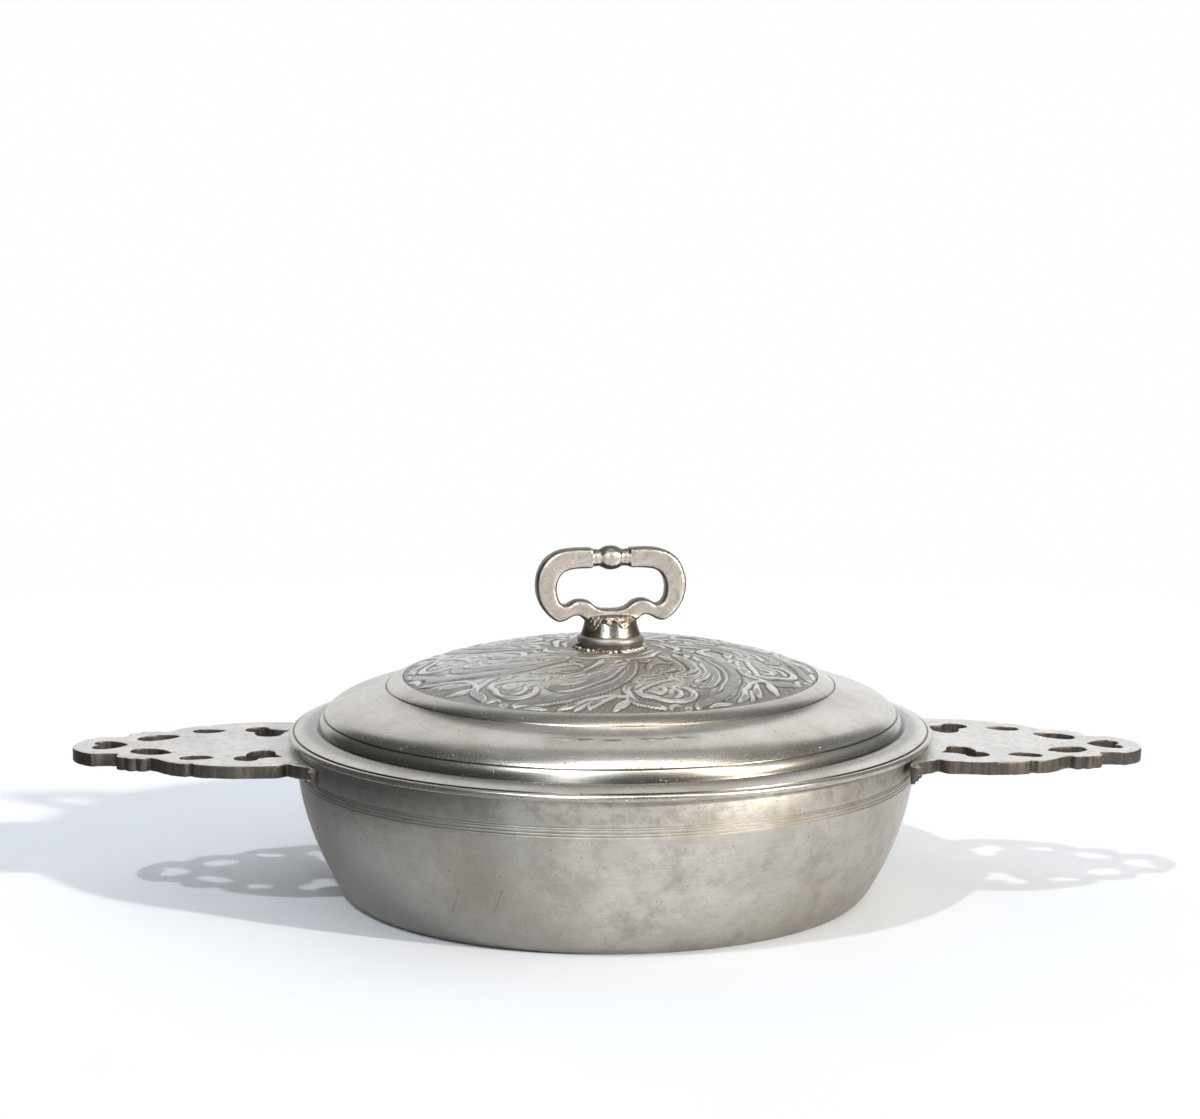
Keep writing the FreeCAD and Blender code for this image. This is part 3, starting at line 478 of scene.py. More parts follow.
# %% The relief, one of its seven repeats
REPEATS = 7
REPEAT_START = -118.0
STROKES = {
    "great band": [
        (-1.5, 56.9, 0.5), (0.2, 55.0, 0.9), (6.5, 52.9, 1.0), (12.8, 50.3, 1.05),
        (19.0, 46.6, 1.1), (24.0, 43.7, 1.1), (27.8, 40.9, 1.05), (31.5, 37.2, 1.0),
        (35.0, 33.7, 0.9), (36.8, 30.4, 0.85), (39.0, 25.9, 0.8), (40.6, 23.0, 1.0),
        (41.0, 20.6, 0.7), (40.3, 18.7, 0.5)],
    "thin line on the band": [
        (8.0, 54.2, 0.22), (14.0, 51.6, 0.25), (19.5, 48.1, 0.25), (24.5, 45.2, 0.25),
        (28.6, 42.2, 0.22), (32.4, 38.6, 0.2), (36.0, 35.0, 0.15)],
    "upper rib": [
        (3.6, 44.2, 0.6), (6.5, 44.6, 1.15), (9.6, 45.4, 0.85), (12.8, 44.5, 0.8),
        (15.9, 42.6, 0.8), (19.0, 39.9, 0.85), (22.1, 37.3, 0.85), (25.3, 34.3, 0.85),
        (28.4, 31.1, 0.8), (30.9, 28.9, 0.7), (34.0, 27.0, 0.5), (37.0, 25.6, 0.3)],
    "lower rib": [
        (6.0, 43.2, 0.5), (9.6, 41.4, 0.7), (12.8, 40.4, 0.7), (15.9, 38.7, 0.7), (19.0, 36.8, 0.7),
        (21.5, 34.8, 0.65), (24.5, 32.4, 0.5), (27.4, 30.6, 0.3)],
    "third rib": [
        (8.5, 36.2, 0.35), (12.5, 35.2, 0.6), (15.3, 34.0, 0.75), (17.8, 31.8, 0.8),
        (20.3, 29.3, 0.85), (22.8, 26.9, 0.85), (25.3, 25.0, 0.8), (27.6, 22.8, 0.7),
        (30.4, 21.0, 0.55), (34.5, 20.0, 0.35)],
    "long hair line": [
        (3.0, 37.6, 0.25), (9.0, 38.2, 0.3), (13.5, 37.0, 0.3), (18.0, 34.3, 0.3),
        (22.0, 31.0, 0.3), (25.5, 28.0, 0.28), (28.5, 25.5, 0.25), (33.0, 23.6, 0.4),
        (36.5, 23.4, 0.6), (38.2, 24.2, 0.3)],
    "hair line under the band": [
        (9.0, 49.2, 0.2), (14.5, 46.8, 0.3), (20.0, 43.4, 0.3), (25.0, 39.8, 0.3),
        (29.2, 36.0, 0.3), (32.6, 32.2, 0.28), (35.0, 28.8, 0.2)],
    "hair line between the ribs": [
        (8.0, 39.6, 0.2), (13.0, 38.4, 0.25), (18.0, 35.9, 0.25), (22.2, 32.8, 0.25),
        (26.0, 29.6, 0.22), (29.4, 26.9, 0.18)],
    "hair line over the arch": [
        (2.0, 35.6, 0.2), (7.2, 34.4, 0.28), (11.4, 32.5, 0.28), (14.6, 29.8, 0.28),
        (17.2, 26.6, 0.26), (19.6, 23.4, 0.24), (22.4, 20.6, 0.2)],
    "arch": [
        (-3.5, 33.8, 0.5), (0.3, 32.8, 0.8), (4.6, 32.5, 0.95), (7.8, 31.5, 0.95),
        (10.9, 30.0, 0.9), (13.4, 27.8, 0.8), (15.3, 25.4, 0.75), (17.1, 22.6, 0.7),
        (18.6, 20.2, 0.55), (20.5, 18.2, 0.35)],
    "hook in the arch": [
        (-7.0, 30.4, 0.35), (-3.5, 27.4, 0.6), (1.5, 25.4, 0.7), (6.5, 25.3, 0.6),
        (10.2, 26.6, 0.5), (10.6, 28.0, 0.35)],
    "drop below the hook": [
        (-4.2, 22.0, 0.4), (-1.3, 22.2, 1.15), (2.0, 21.7, 0.6), (6.0, 20.9, 0.25)],
    "knot near the socket": [(31.5, 24.4, 0.3), (34.2, 24.2, 0.75), (37.0, 23.0, 0.4)],
    "inner swirl": [
        (-8.0, 17.6, 0.3), (2.0, 18.4, 0.5), (11.0, 17.6, 0.7), (19.0, 16.3, 0.5),
        (29.0, 15.3, 0.4), (39.0, 14.9, 0.3)],
    "innermost swirl": [
        (4.0, 14.6, 0.25), (16.0, 14.2, 0.4), (28.0, 13.1, 0.4), (42.0, 12.6, 0.25)],
    "first leaf": [
        (11.3, 56.4, 0.25), (13.0, 55.4, 0.6), (15.3, 54.3, 0.8), (17.1, 52.6, 0.6),
        (19.0, 50.8, 0.5), (21.5, 49.7, 0.5), (24.6, 48.4, 0.5), (28.4, 48.4, 0.5),
        (31.0, 49.3, 0.5)],
    "second leaf": [
        (20.0, 55.8, 0.3), (20.4, 54.2, 0.75), (22.4, 52.2, 0.75), (25.0, 50.2, 0.5),
        (27.2, 49.0, 0.3)],
    "leaf between": [(16.0, 56.6, 0.25), (17.4, 55.2, 0.45), (19.0, 53.2, 0.4), (20.8, 51.2, 0.3)],
    "curl leaf": [
        (27.3, 54.7, 0.45), (29.0, 54.2, 0.55), (30.8, 52.2, 0.6), (31.4, 49.8, 0.6),
        (31.0, 48.0, 0.5)],
    "curl leaf's tip": [
        (26.4, 56.4, 0.3), (27.6, 55.2, 0.6), (28.3, 53.2, 0.55), (30.3, 51.2, 0.35)],
    "flame": [
        (32.0, 48.6, 0.5), (32.3, 50.2, 0.65), (33.4, 52.0, 0.75), (35.9, 53.0, 0.9),
        (38.6, 54.4, 0.85), (40.8, 56.0, 0.4)],
    "flame's root": [
        (32.2, 49.6, 0.5), (31.4, 47.2, 0.6), (30.7, 44.9, 0.65), (31.8, 42.9, 0.75),
        (34.0, 41.4, 0.8), (35.4, 39.4, 0.4)],
    "flame's lobe": [(33.4, 44.2, 0.25), (35.4, 42.2, 0.65), (36.4, 40.9, 0.3)],
    "shell's edge": [
        (33.4, 45.2, 0.35), (34.6, 46.7, 0.55), (35.9, 48.4, 0.6), (39.0, 49.6, 0.6),
        (40.9, 50.9, 0.55), (44.0, 52.1, 0.6), (47.1, 52.4, 0.65), (50.3, 51.5, 0.65),
        (52.5, 49.2, 0.65), (52.6, 46.8, 0.55), (51.2, 44.6, 0.4)],
    "shell's lower edge": [
        (34.8, 46.6, 0.5), (35.9, 44.9, 0.55), (38.4, 43.3, 0.55), (41.5, 41.8, 0.55),
        (44.6, 40.6, 0.5), (47.8, 39.8, 0.45), (50.5, 39.6, 0.3)],
    "curl in the shell": [
        (38.4, 45.8, 0.35), (40.8, 47.4, 0.6), (43.4, 46.8, 0.55), (44.6, 44.8, 0.45),
        (43.0, 43.4, 0.3)],
    "second curl in the shell": [
        (45.4, 50.4, 0.3), (47.6, 49.4, 0.55), (48.8, 47.4, 0.5), (47.6, 45.2, 0.45),
        (49.6, 43.2, 0.3)],
    "drop in the shell": [(45.0, 47.9, 0.3), (46.0, 46.9, 0.55), (46.3, 45.8, 0.25)],
    "little star": [(49.2, 39.4, 0.25), (50.4, 37.6, 0.5), (52.2, 35.8, 0.3)],
    "little star's arm": [(49.6, 36.0, 0.2), (51.0, 38.0, 0.4), (52.6, 40.8, 0.25)],
    "shadow line below the shell": [(38.6, 38.6, 0.25), (42.0, 37.6, 0.4), (46.0, 36.8, 0.3)],
    "cell below the shell": [(39.8, 34.8, 0.3), (43.4, 35.4, 0.5), (46.8, 34.0, 0.3)],
    "border leaf": [(2.0, 57.0, 0.3), (5.2, 56.0, 0.6), (8.6, 56.4, 0.3)],
    "flower": [
        (46.1, 56.4, 0.28), (46.6, 55.7, 0.3), (47.6, 55.7, 0.3), (48.1, 56.4, 0.3),
        (47.6, 57.0, 0.28), (46.6, 57.0, 0.28), (46.1, 56.4, 0.28)],
    "border curl": [(41.8, 56.4, 0.3), (42.4, 54.9, 0.55), (44.2, 54.3, 0.4), (45.3, 55.2, 0.2)],
}
BEADED = {
    "beads above the band": [
        (10.6, 55.0), (14.0, 52.9), (17.1, 50.9), (20.3, 48.9), (24.0, 47.4), (28.4, 46.9)],
    "beads in the slot": [(11.0, 42.9), (13.4, 42.0), (16.0, 40.6), (18.6, 38.8)],
}
BEAD_PITCH = 1.05 * MM
BEAD_RADIUS = 0.40 * MM
# The mould's lines fill out in the casting, so each stroke is this much wider than drawn
FULLER = 1.5


def keep_value(mesh, name, values):
    """Keep one number for each point of a mesh."""
    mesh.attributes.new(name, "FLOAT", "POINT").data.foreach_set("value", values)


def round_place(degrees, radius):
    angle = math.radians(REPEAT_START + degrees)
    return (radius * MM * math.cos(angle), radius * MM * math.sin(angle), 0.0)


def stroke_object(name, strokes):
    """One repeat as bare edges, with half the width kept at each point."""
    places = []
    edges = []
    widths = []
    for points in strokes.values():
        first = len(places)
        for degrees, radius, *half in points:
            places.append(round_place(degrees, radius))
            widths.append(half[0] * FULLER * MM if half else 0.0)
        edges += [(i, i + 1) for i in range(first, len(places) - 1)]
    mesh = bpy.data.meshes.new(name)
    mesh.from_pydata(places, edges, [])
    keep_value(mesh, "half_width", widths)
    return add_object(name, mesh)


print(len(STROKES), "strokes and", len(BEADED), "beaded lines in each of", REPEATS, "repeats")

# %% [markdown]
# Geometry trees make the relief and the solder. A tree gets its numbers, materials
# and objects as named inputs, and runs once. Its result is kept as a plain mesh.

# %% Helpers for geometry trees
def new_tree(name, inputs):
    """A geometry tree with named inputs; gives the tree and the wires of its inputs."""
    tree = bpy.data.node_groups.new(name, "GeometryNodeTree")
    tree.interface.new_socket("Geometry", in_out="INPUT", socket_type="NodeSocketGeometry")
    for label, (kind, _) in inputs.items():
        tree.interface.new_socket(label, in_out="INPUT", socket_type=kind)
    tree.interface.new_socket("Geometry", in_out="OUTPUT", socket_type="NodeSocketGeometry")
    start = add_node(tree, "NodeGroupInput")
    wires = {label: start.other(label) for label in ("Geometry", *inputs)}
    return tree, wires


def plain_mesh(thing):
    """The mesh of an object as its modifiers leave it."""
    seen = thing.evaluated_get(bpy.context.evaluated_depsgraph_get())
    return bpy.data.meshes.new_from_object(seen)


def run_tree(thing, tree, inputs, name):
    """Put a tree on an object with its inputs set, and keep the result as a new object."""
    modifier = thing.modifiers.new(name, "NODES")
    modifier.node_group = tree
    for item in tree.interface.items_tree:
        if item.in_out == "INPUT" and item.name in inputs:
            modifier[item.identifier] = inputs[item.name][1]
    mesh = plain_mesh(thing)
    thing.modifiers.remove(modifier)
    return add_object(name, mesh)


def vector(tree, x, y, z):
    return add_node(tree, "ShaderNodeCombineXYZ", None, {0: x, 1: y, 2: z})


def finish_tree(tree, geometry, material):
    """The end of each tree: smooth, real geometry with its material."""
    last = geometry.node("GeometryNodeSetShadeSmooth", None, {"Geometry": geometry})
    last = last.node("GeometryNodeRealizeInstances", None, {"Geometry": last})
    last = last.node("GeometryNodeSetMaterial", None, {"Geometry": last, "Material": material})
    add_node(tree, "NodeGroupOutput", None, {0: last})


print("helpers ready")

# %% [markdown]
# One tree turns the strokes into height. It lays a flattened rod along each stroke,
# beads where a line is beaded, and sets seven copies of them round the axis. A fine
# grid, bent to a disc, then looks down on the rods, and rises to where it sees one.
# This is the way a pressed cloth would show them. The last step lifts the whole
# onto the dome, whose radii are those of the construction model. Two numbers stay
# on each point: how high the relief stands there, and how much it is a furrow. The
# finish reads them, since wear brightens what stands high and grime fills the rest.

# %% The tree of the relief
CROWN = 67.6 * MM
CAP = 330.0 * MM
DOME_TURN = 25.0 * MM
FLANK = 124.6 * MM
LEAN = DOME_TURN / CAP
APART = CAP - FLANK
FLANK_CENTRE = CROWN - CAP + APART * math.sqrt(1 - LEAN ** 2)
PANEL_RADIUS = 57.6 * MM
RELIEF_HEIGHT = 0.42 * MM
GRID = 290
ROD_STEP = 0.45 * MM
LOOK_FROM = 10.0 * MM
# The relief starts outside the socket and ends inside the rim, fading in between
FIELD_FROM = (11.2 * MM, 13.5 * MM)
FIELD_TO = (56.8 * MM, 57.4 * MM)
DRIFT = (2.2 * MM, 2.2 * MM, 0.0)
GRAIN = 0.06 * MM


def dome_height(radius, below=0.0):
    """Height of the dome, or of the metal a little below it, for a plain number."""
    if radius < DOME_TURN:
        return CROWN - CAP + math.sqrt((CAP - below) ** 2 - radius ** 2)
    return FLANK_CENTRE + math.sqrt((FLANK - below) ** 2 - (radius - APART * LEAN) ** 2)


def relief_tree(beads, material):
    inputs = {
        "Repeats": ("NodeSocketInt", REPEATS),
        "Bead pitch": ("NodeSocketFloat", BEAD_PITCH),
        "Bead radius": ("NodeSocketFloat", BEAD_RADIUS),
        "Flatness": ("NodeSocketFloat", 0.55),
        "Height": ("NodeSocketFloat", RELIEF_HEIGHT),
        "Radius": ("NodeSocketFloat", PANEL_RADIUS),
        "Cells": ("NodeSocketInt", GRID),
        "Beads": ("NodeSocketObject", beads),
        "Material": ("NodeSocketMaterial", material),
    }
    tree, given = new_tree("cast_relief", inputs)

    def node(kind, settings=None, inputs=None, out=0):
        return add_node(tree, kind, settings, inputs, out)

    def smooth_line(mesh, step):
        line = node("GeometryNodeMeshToCurve", None, {"Mesh": mesh})
        line = node("GeometryNodeCurveSplineType", {"spline_type": "CATMULL_ROM"}, {"Curve": line})
        return node("GeometryNodeResampleCurve", {"mode": "LENGTH"}, {
            "Curve": line, "Length": step})

    def blurred(value, rounds, weight):
        return node("GeometryNodeBlurAttribute", {"data_type": "FLOAT"}, {
            "Value": value, "Iterations": rounds, "Weight": weight})

    def keep(geometry, name, value):
        return node("GeometryNodeStoreNamedAttribute", {"data_type": "FLOAT", "domain": "POINT"}, {
            "Geometry": geometry, "Name": name, "Value": value})

    def place_parts():
        place = node("GeometryNodeInputPosition")
        x = node("ShaderNodeSeparateXYZ", None, {0: place})
        return place, x, x.other("Y")

    # One repeat: rods and beads
    half = node("GeometryNodeInputNamedAttribute", {"data_type": "FLOAT"}, {"Name": "half_width"})
    ring = node("GeometryNodeCurvePrimitiveCircle", None, {"Resolution": 10, "Radius": 1.0})
    rods = node("GeometryNodeCurveToMesh", None, {
        "Curve": smooth_line(given["Geometry"], ROD_STEP), "Profile Curve": ring,
        "Scale": half, "Fill Caps": True})
    lines = node("GeometryNodeObjectInfo", None, {"Object": given["Beads"]}, "Geometry")
    ball = node("GeometryNodeMeshIcoSphere", None, {
        "Radius": given["Bead radius"], "Subdivisions": 2})
    beads = node("GeometryNodeInstanceOnPoints", None, {
        "Points": smooth_line(lines, given["Bead pitch"]), "Instance": ball})
    beads = node("GeometryNodeRealizeInstances", None, {"Geometry": beads})
    repeat = node("GeometryNodeJoinGeometry", None, {"Geometry": rods})
    tree.links.new(beads.socket, repeat.socket.node.inputs[0])
    repeat = node("GeometryNodeTransform", None, {
        "Geometry": repeat, "Scale": vector(tree, 1.0, 1.0, given["Flatness"])})

    # Copies round the axis, no two quite alike
    hub = node("GeometryNodeMeshLine", {"mode": "OFFSET"}, {
        "Count": given["Repeats"], "Offset": (0.0, 0.0, 0.0)})
    index = node("GeometryNodeInputIndex")
    spin = vector(tree, 0.0, 0.0, index * (2 * math.pi) / given["Repeats"])
    rosette = node("GeometryNodeInstanceOnPoints", None, {
        "Points": hub, "Instance": repeat, "Rotation": spin})
    rosette = node("GeometryNodeRealizeInstances", None, {"Geometry": rosette})
    drift = node("ShaderNodeTexNoise", None, {"Scale": 90.0, "Detail": 1.0}, "Color")
    drift = node("ShaderNodeVectorMath", {"operation": "SUBTRACT"}, {0: drift, 1: (0.5, 0.5, 0.5)})
    drift = node("ShaderNodeVectorMath", {"operation": "MULTIPLY"}, {0: drift, 1: DRIFT})
    rosette = node("GeometryNodeSetPosition", None, {"Geometry": rosette, "Offset": drift})

    # A square grid pulled round into a disc
    side = given["Radius"] * 2.0
    grid = node("GeometryNodeMeshGrid", None, {
        "Size X": side, "Size Y": side, "Vertices X": given["Cells"], "Vertices Y": given["Cells"]})
    _, x, y = place_parts()
    u = x / given["Radius"]
    v = y / given["Radius"]
    round_x = u * ((1.0 - v * v * 0.5) ** 0.5) * given["Radius"]
    round_y = v * ((1.0 - u * u * 0.5) ** 0.5) * given["Radius"]
    disc = node("GeometryNodeSetPosition", None, {
        "Geometry": grid, "Position": vector(tree, round_x, round_y, 0.0)})

    # Each point looks straight down on the rods
    place, x, y = place_parts()
    radius = (x * x + y * y) ** 0.5
    above = node("ShaderNodeVectorMath", {"operation": "ADD"}, {
        0: place, 1: (0.0, 0.0, LOOK_FROM)})
    ray = node("GeometryNodeRaycast", None, {
        "Target Geometry": rosette, "Source Position": above, "Ray Direction": (0.0, 0.0, -1.0),
        "Ray Length": LOOK_FROM})
    hit = node("ShaderNodeSeparateXYZ", None, {0: ray.other("Hit Position")})
    field = radius.fade(*FIELD_FROM) * (1.0 - radius.fade(*FIELD_TO))
    seen = hit.other("Z") * ray / given["Height"] * field
    rise = blurred(seen, 1, 0.6)
    rise = rise.maths("MINIMUM", rise, 0.8 + rise * 0.15)
    spread = blurred(seen, 4, 1.0)
    kept = keep(keep(disc, "relief", rise), "furrow", spread - rise)

    # Up onto the dome
    rough = node("ShaderNodeTexNoise", None, {"Scale": 700.0, "Detail": 3.0})
    middle = (CAP * CAP - radius * radius) ** 0.5 + (CROWN - CAP)
    out = radius - APART * LEAN
    edge = (FLANK * FLANK - out * out) ** 0.5 + FLANK_CENTRE
    inside = radius.maths("LESS_THAN", radius, DOME_TURN)
    dome = middle * inside + edge * (1.0 - inside)
    height = dome + rise * given["Height"] + (rough - 0.5) * GRAIN
    whole = node("GeometryNodeSetPosition", None, {
        "Geometry": kept, "Position": vector(tree, x, y, height)})
    finish_tree(tree, whole, given["Material"])
    return tree, inputs


print("dome: crown at", round(CROWN / MM, 2), "mm, edge at",
      round(dome_height(PANEL_RADIUS) / MM, 2))

# %% [markdown]
# The relief is grey all over. Grime lies beside each raised line and near the rim,
# and fine hair lines flow in spirals from the middle outwards. The left side is
# painted lighter, a painted sheen of the room's light, and a brown stain lies in
# front of the handle.

# %% The finish of the relief
SOOT = (0.17, 0.155, 0.135)
# How fast the hair lines turn: radians for each step of the radius by a factor e
HAIR_TURN = 1.475


def relief_pewter():
    f = Finish("relief_pewter")
    high = f.kept("relief")
    furrow = f.kept("furrow")
    clouds = f.noise(16.0, 4.0, 0.6)
    grain = f.noise(0.7, 3.0, 0.6)
    patch = f.noise(5.0, 4.0, 0.6, (5.0, 8.0, 3.0))
    mottled = f.noise(1.6, 4.0, 0.65, (1.0, 6.0, 2.0))
    low = 1.0 - high.fade(0.05, 0.35)
    angle = f.x.maths("ARCTAN2", f.x, -f.y)
    spiral = angle * HAIR_TURN + f.radius.maths("LOGARITHM", f.radius, math.e)
    hairs = f.line_noise(spiral * 12.0 + f.noise(7.0, 2.0) * 2.2, 1.0)
    hair = hairs.fade(0.44, 0.50) * (1.0 - hairs.fade(0.50, 0.58)) * low
    rim = f.radius.fade(46.0, 51.0) * low
    middle = (1.0 - f.radius.fade(13.0, 30.0)) * low
    # Painted sheen: the left side lighter, as if lit by the room
    lit_side = (-f.x + (clouds - 0.5) * 30.0).fade(8.0, 44.0)
    grime = furrow.fade(0.02, 0.12) * (0.55 + mottled * 0.8)
    stained = f.spot((13.0, -27.0, 66.0), 8.5, 5.5) * (0.35 + mottled * 0.6)
    scraped = f.spot((15.2, -31.0, 65.6), 4.5, 2.0) + f.spot((-16.5, -32.5, 65.2), 5.0, 2.5)
    sparks = f.noise(0.9, 2.0, 0.5, (3.0, 2.0, 8.0)).fade(0.60, 0.66) * scraped
    colour = coats(
        mix_colours(clouds.fade(0.3, 0.7), (0.52, 0.495, 0.455), (0.63, 0.61, 0.58)),
        (lit_side * 0.75, (0.84, 0.835, 0.83)),
        (high.fade(0.20, 0.6) * (0.75 - lit_side * 0.25), (0.76, 0.745, 0.715)),
        (rim * 0.62, SOOT),
        (middle * 0.55, (0.20, 0.165, 0.125)),
        (hair * 0.50, SOOT),
        (mottled.fade(0.50, 0.72) * low * 0.35, (0.25, 0.225, 0.19)),
        (stained * 0.85, (0.24, 0.195, 0.145)),
        (grime * (0.72 - lit_side * 0.22), (0.12, 0.107, 0.09)),
        (sparks, (0.95, 0.92, 0.86)),
        (patch.fade(0.55, 0.75) * low * 0.35, STAIN))
    rough = 0.42 - high * 0.12 + grain * 0.08
    return f.finish(colour, rough, grain * 0.5 + mottled * 0.5 + clouds * 0.4 - hair * 0.9)


relief_metal = relief_pewter()
print("relief finish:", len(relief_metal.node_tree.nodes), "nodes")

# %% [markdown]
# The panel is one disc of fine squares. Its underside is closed with a few rings,
# so that it is a solid sheet of metal.

# %% The relief panel
PANEL_METAL = 1.15 * MM
# Rings of the underside, as shares of the panel's radius
UNDERSIDE = (1.0, 0.985, 0.93, 0.83, 0.7, 0.55, 0.4, 0.25, 0.1)


def close_below(thing):
    """Give the domed sheet its edge and its hollow underside."""
    shape = bmesh.new()
    shape.from_mesh(thing.data)
    rim = [edge for edge in shape.edges if edge.is_boundary]
    for share in UNDERSIDE:
        grown = bmesh.ops.extrude_edge_only(shape, edges=rim)["geom"]
        rim = [part for part in grown if isinstance(part, bmesh.types.BMEdge)]
        for vertex in {v for edge in rim for v in edge.verts}:
            flat = Vector((vertex.co.x, vertex.co.y)).normalized() * PANEL_RADIUS * share
            vertex.co = (flat.x, flat.y, dome_height(flat.length, PANEL_METAL))
    bmesh.ops.holes_fill(shape, edges=rim, sides=0)
    bmesh.ops.recalc_face_normals(shape, faces=shape.faces)
    shape.to_mesh(thing.data)
    shape.free()


def make_panel():
    ribs = stroke_object("relief_strokes", STROKES)
    beads = stroke_object("relief_beads", BEADED)
    tree, inputs = relief_tree(beads, relief_metal)
    panel = run_tree(ribs, tree, inputs, "relief_panel_cast")
    for helper in (ribs, beads):
        bpy.data.objects.remove(helper)
    close_below(panel)
    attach(panel, "lid")
    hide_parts("relief_panel")
    return panel


panel = make_panel()
print("relief panel:", len(panel.data.polygons), "faces, top at",
      round(max(v.co.z for v in panel.data.vertices), 5))

# %% [markdown]
# The bowl and the lid were cast thick and then turned on a lathe. Their shapes are
# one line each, swept round an axis. The lines follow the photograph where it shows
# more than the construction model has. The helpers below write such lines and turn
# them. Steepness is what the eye reads in polished metal, so one of them writes a
# line as degrees over the radius.

# %% Lines for the lathe
def by_steepness(start, table, step=0.3):
    """A line that goes outwards and is as steep as the table of radius and degrees says."""
    radii, degrees = zip(*table)
    radius, height = start
    line = [start]
    while radius < radii[-1] - 1e-6:
        move = min(step, radii[-1] - radius)
        middle = math.radians(float(np.interp(radius + move / 2, radii, degrees)))
        radius += move
        height -= move * math.tan(middle)
        line.append((radius, height))
    return line


def by_turning(start, first, last, bend, parts=10):
    """An arc that bulges outwards, from one steepness to another, both in degrees."""
    line = []
    from_angle = math.radians(first)
    for part in range(parts + 1):
        angle = math.radians(first + (last - first) * part / parts)
        line.append((start[0] + bend * (math.sin(angle) - math.sin(from_angle)),
                     start[1] + bend * (math.cos(angle) - math.cos(from_angle))))
    return line


def seat_line(radius_to, below, parts=40):
    """The dome that carries the relief panel, from the axis outwards."""
    radii = [radius_to * i / parts for i in range(parts + 1)]
    return [(radius, dome_height(radius * MM, below * MM) / MM) for radius in radii]


def lathe(name, outline, steps=320, middle=(0.0, 0.0)):
    """Turn a line of radius and height once round the axis; both its ends lie on the axis."""
    off_x, off_y = (v * MM for v in middle)
    angles = [2 * math.pi * i / steps for i in range(steps)]
    ring = [(math.cos(angle), math.sin(angle)) for angle in angles]
    places = [(radius * c * MM + off_x, radius * s * MM + off_y, height * MM)
              for radius, height in outline[1:-1] for c, s in ring]
    places += [(off_x, off_y, end[1] * MM) for end in (outline[0], outline[-1])]
    rings = len(outline) - 2
    top, bottom = rings * steps, rings * steps + 1
    faces = []
    for j in range(steps):
        k = (j + 1) % steps
        faces.append((top, j, k))
        faces += [(i + j, i + steps + j, i + steps + k, i + k)
                  for i in range(0, (rings - 1) * steps, steps)]
        faces.append((bottom, (rings - 1) * steps + k, (rings - 1) * steps + j))
    mesh = bpy.data.meshes.new(name)
    mesh.from_pydata(places, [], faces)
    mesh.polygons.foreach_set("use_smooth", [True] * len(faces))
    mesh.set_sharp_from_angle(angle=math.radians(40.0))
    return add_object(name, mesh)


print("lathe ready")

# %% [markdown]
# The lid, from the middle outwards: the seat of the relief, the ring round it, one
# broad roll that grows steeper outwards, a band that bulges, and the flange with
# its crest and small steps. Underneath, the metal is about as thick everywhere.

# %% The lid
SEAT_RADIUS = 57.75
RING = [(SEAT_RADIUS, 9.0), (62.0, 42.5)]
SHOULDER = [(62.6, 40.0), (65.5, 20.0), (67.5, 11.0), (70.5, 12.0), (73.6, 17.5), (75.9, 26.0),
            (77.5, 36.0), (79.45, 52.0)]
FLANGE = [(82.1, 2.0), (82.9, 13.0), (87.75, 14.0)]
CREST = (88.5, 45.25)
LID_RADIUS = 89.3
LID_BELOW = [(LID_RADIUS, 43.8), (89.0, 43.5), (80.8, 43.5), (77.6, 46.1), (77.6, 48.65),
             (76.1, 50.5), (73.6, 51.05), (70.0, 51.75), (66.0, 53.1), (61.3, 55.4)]
LID_FURROWS = (62.35, 79.6, 81.25, 87.95)

shoulder_line = by_steepness((62.6, 57.35), SHOULDER)
lid_line = seat_line(SEAT_RADIUS, 1.2) + by_steepness((SEAT_RADIUS, 59.75), RING)
lid_line += [(62.3, 57.15)] + shoulder_line
lid_line += [(79.5, 49.55)] + by_turning((79.75, 49.60), 45.0, 86.0, 4.25)
lid_line += [(81.1, 46.55), (81.45, 46.55), (81.8, 46.75)] + by_steepness((82.1, 46.82), FLANGE)
lid_line += [(87.9, 45.05), (88.1, 45.0), (88.25, 45.22), CREST]
lid_line += by_turning(CREST, 8.0, 88.0, 0.95)[1:]
lid_line = [(min(radius, LID_RADIUS), height) for radius, height in lid_line]
lid_line += LID_BELOW + seat_line(57.0, 2.8)[::-1]


def lid_marks(f, colour):
    """A row of short scrapes along the shoulder in front, brown clouds, and painted shade on the
    front of the ring.
    """
    clouds = f.noise(12.0, 5.0, 0.64, (4.0, 6.0, 11.0))
    dashes = f.noise(1.3, 3.0, 0.6, (3.0, 1.0, 2.0), (0.22, 1.0, 1.0))
    row = near(f.radius + (clouds - 0.5) * 3.0, 67.9, 0.5, 1.1) * (
        1.0 - f.y.fade(-62.0, -58.0)) * f.x.fade(-22.0, -16.0) * (1.0 - f.x.fade(16.0, 22.0))
    # Painted shade: the ring is darker in front, to damp its reflection there
    ring = f.radius.fade(57.5, 58.2) * (1.0 - f.radius.fade(62.0, 62.6)) * (
        1.0 - f.y.fade(-50.0, -20.0))
    return coats(
        colour,
        (clouds.fade(0.44, 0.68) * 0.34, (0.30, 0.27, 0.225)),
        (ring * 0.50, (0.20, 0.185, 0.165)),
        (row * dashes.fade(0.46, 0.56) * 0.8, (0.13, 0.11, 0.09)),
        (row * (1.0 - dashes.fade(0.34, 0.40)), (0.92, 0.90, 0.86)))


lid = lathe("lid_shell_turned", lid_line)
lid.data.materials.append(turned_pewter(
    "lid_pewter", -1.0, stain=0.30, wear=0.7, gloss=0.23, clouding=0.7, ripple=0.5,
    furrows=LID_FURROWS, shaded_ring=(80.3, 85.0), own_marks=lid_marks))
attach(lid, "lid")
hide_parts("lid_shell")
print("lid:", len(lid.data.polygons), "faces; shoulder ends at",
      [round(v, 2) for v in shoulder_line[-1]])
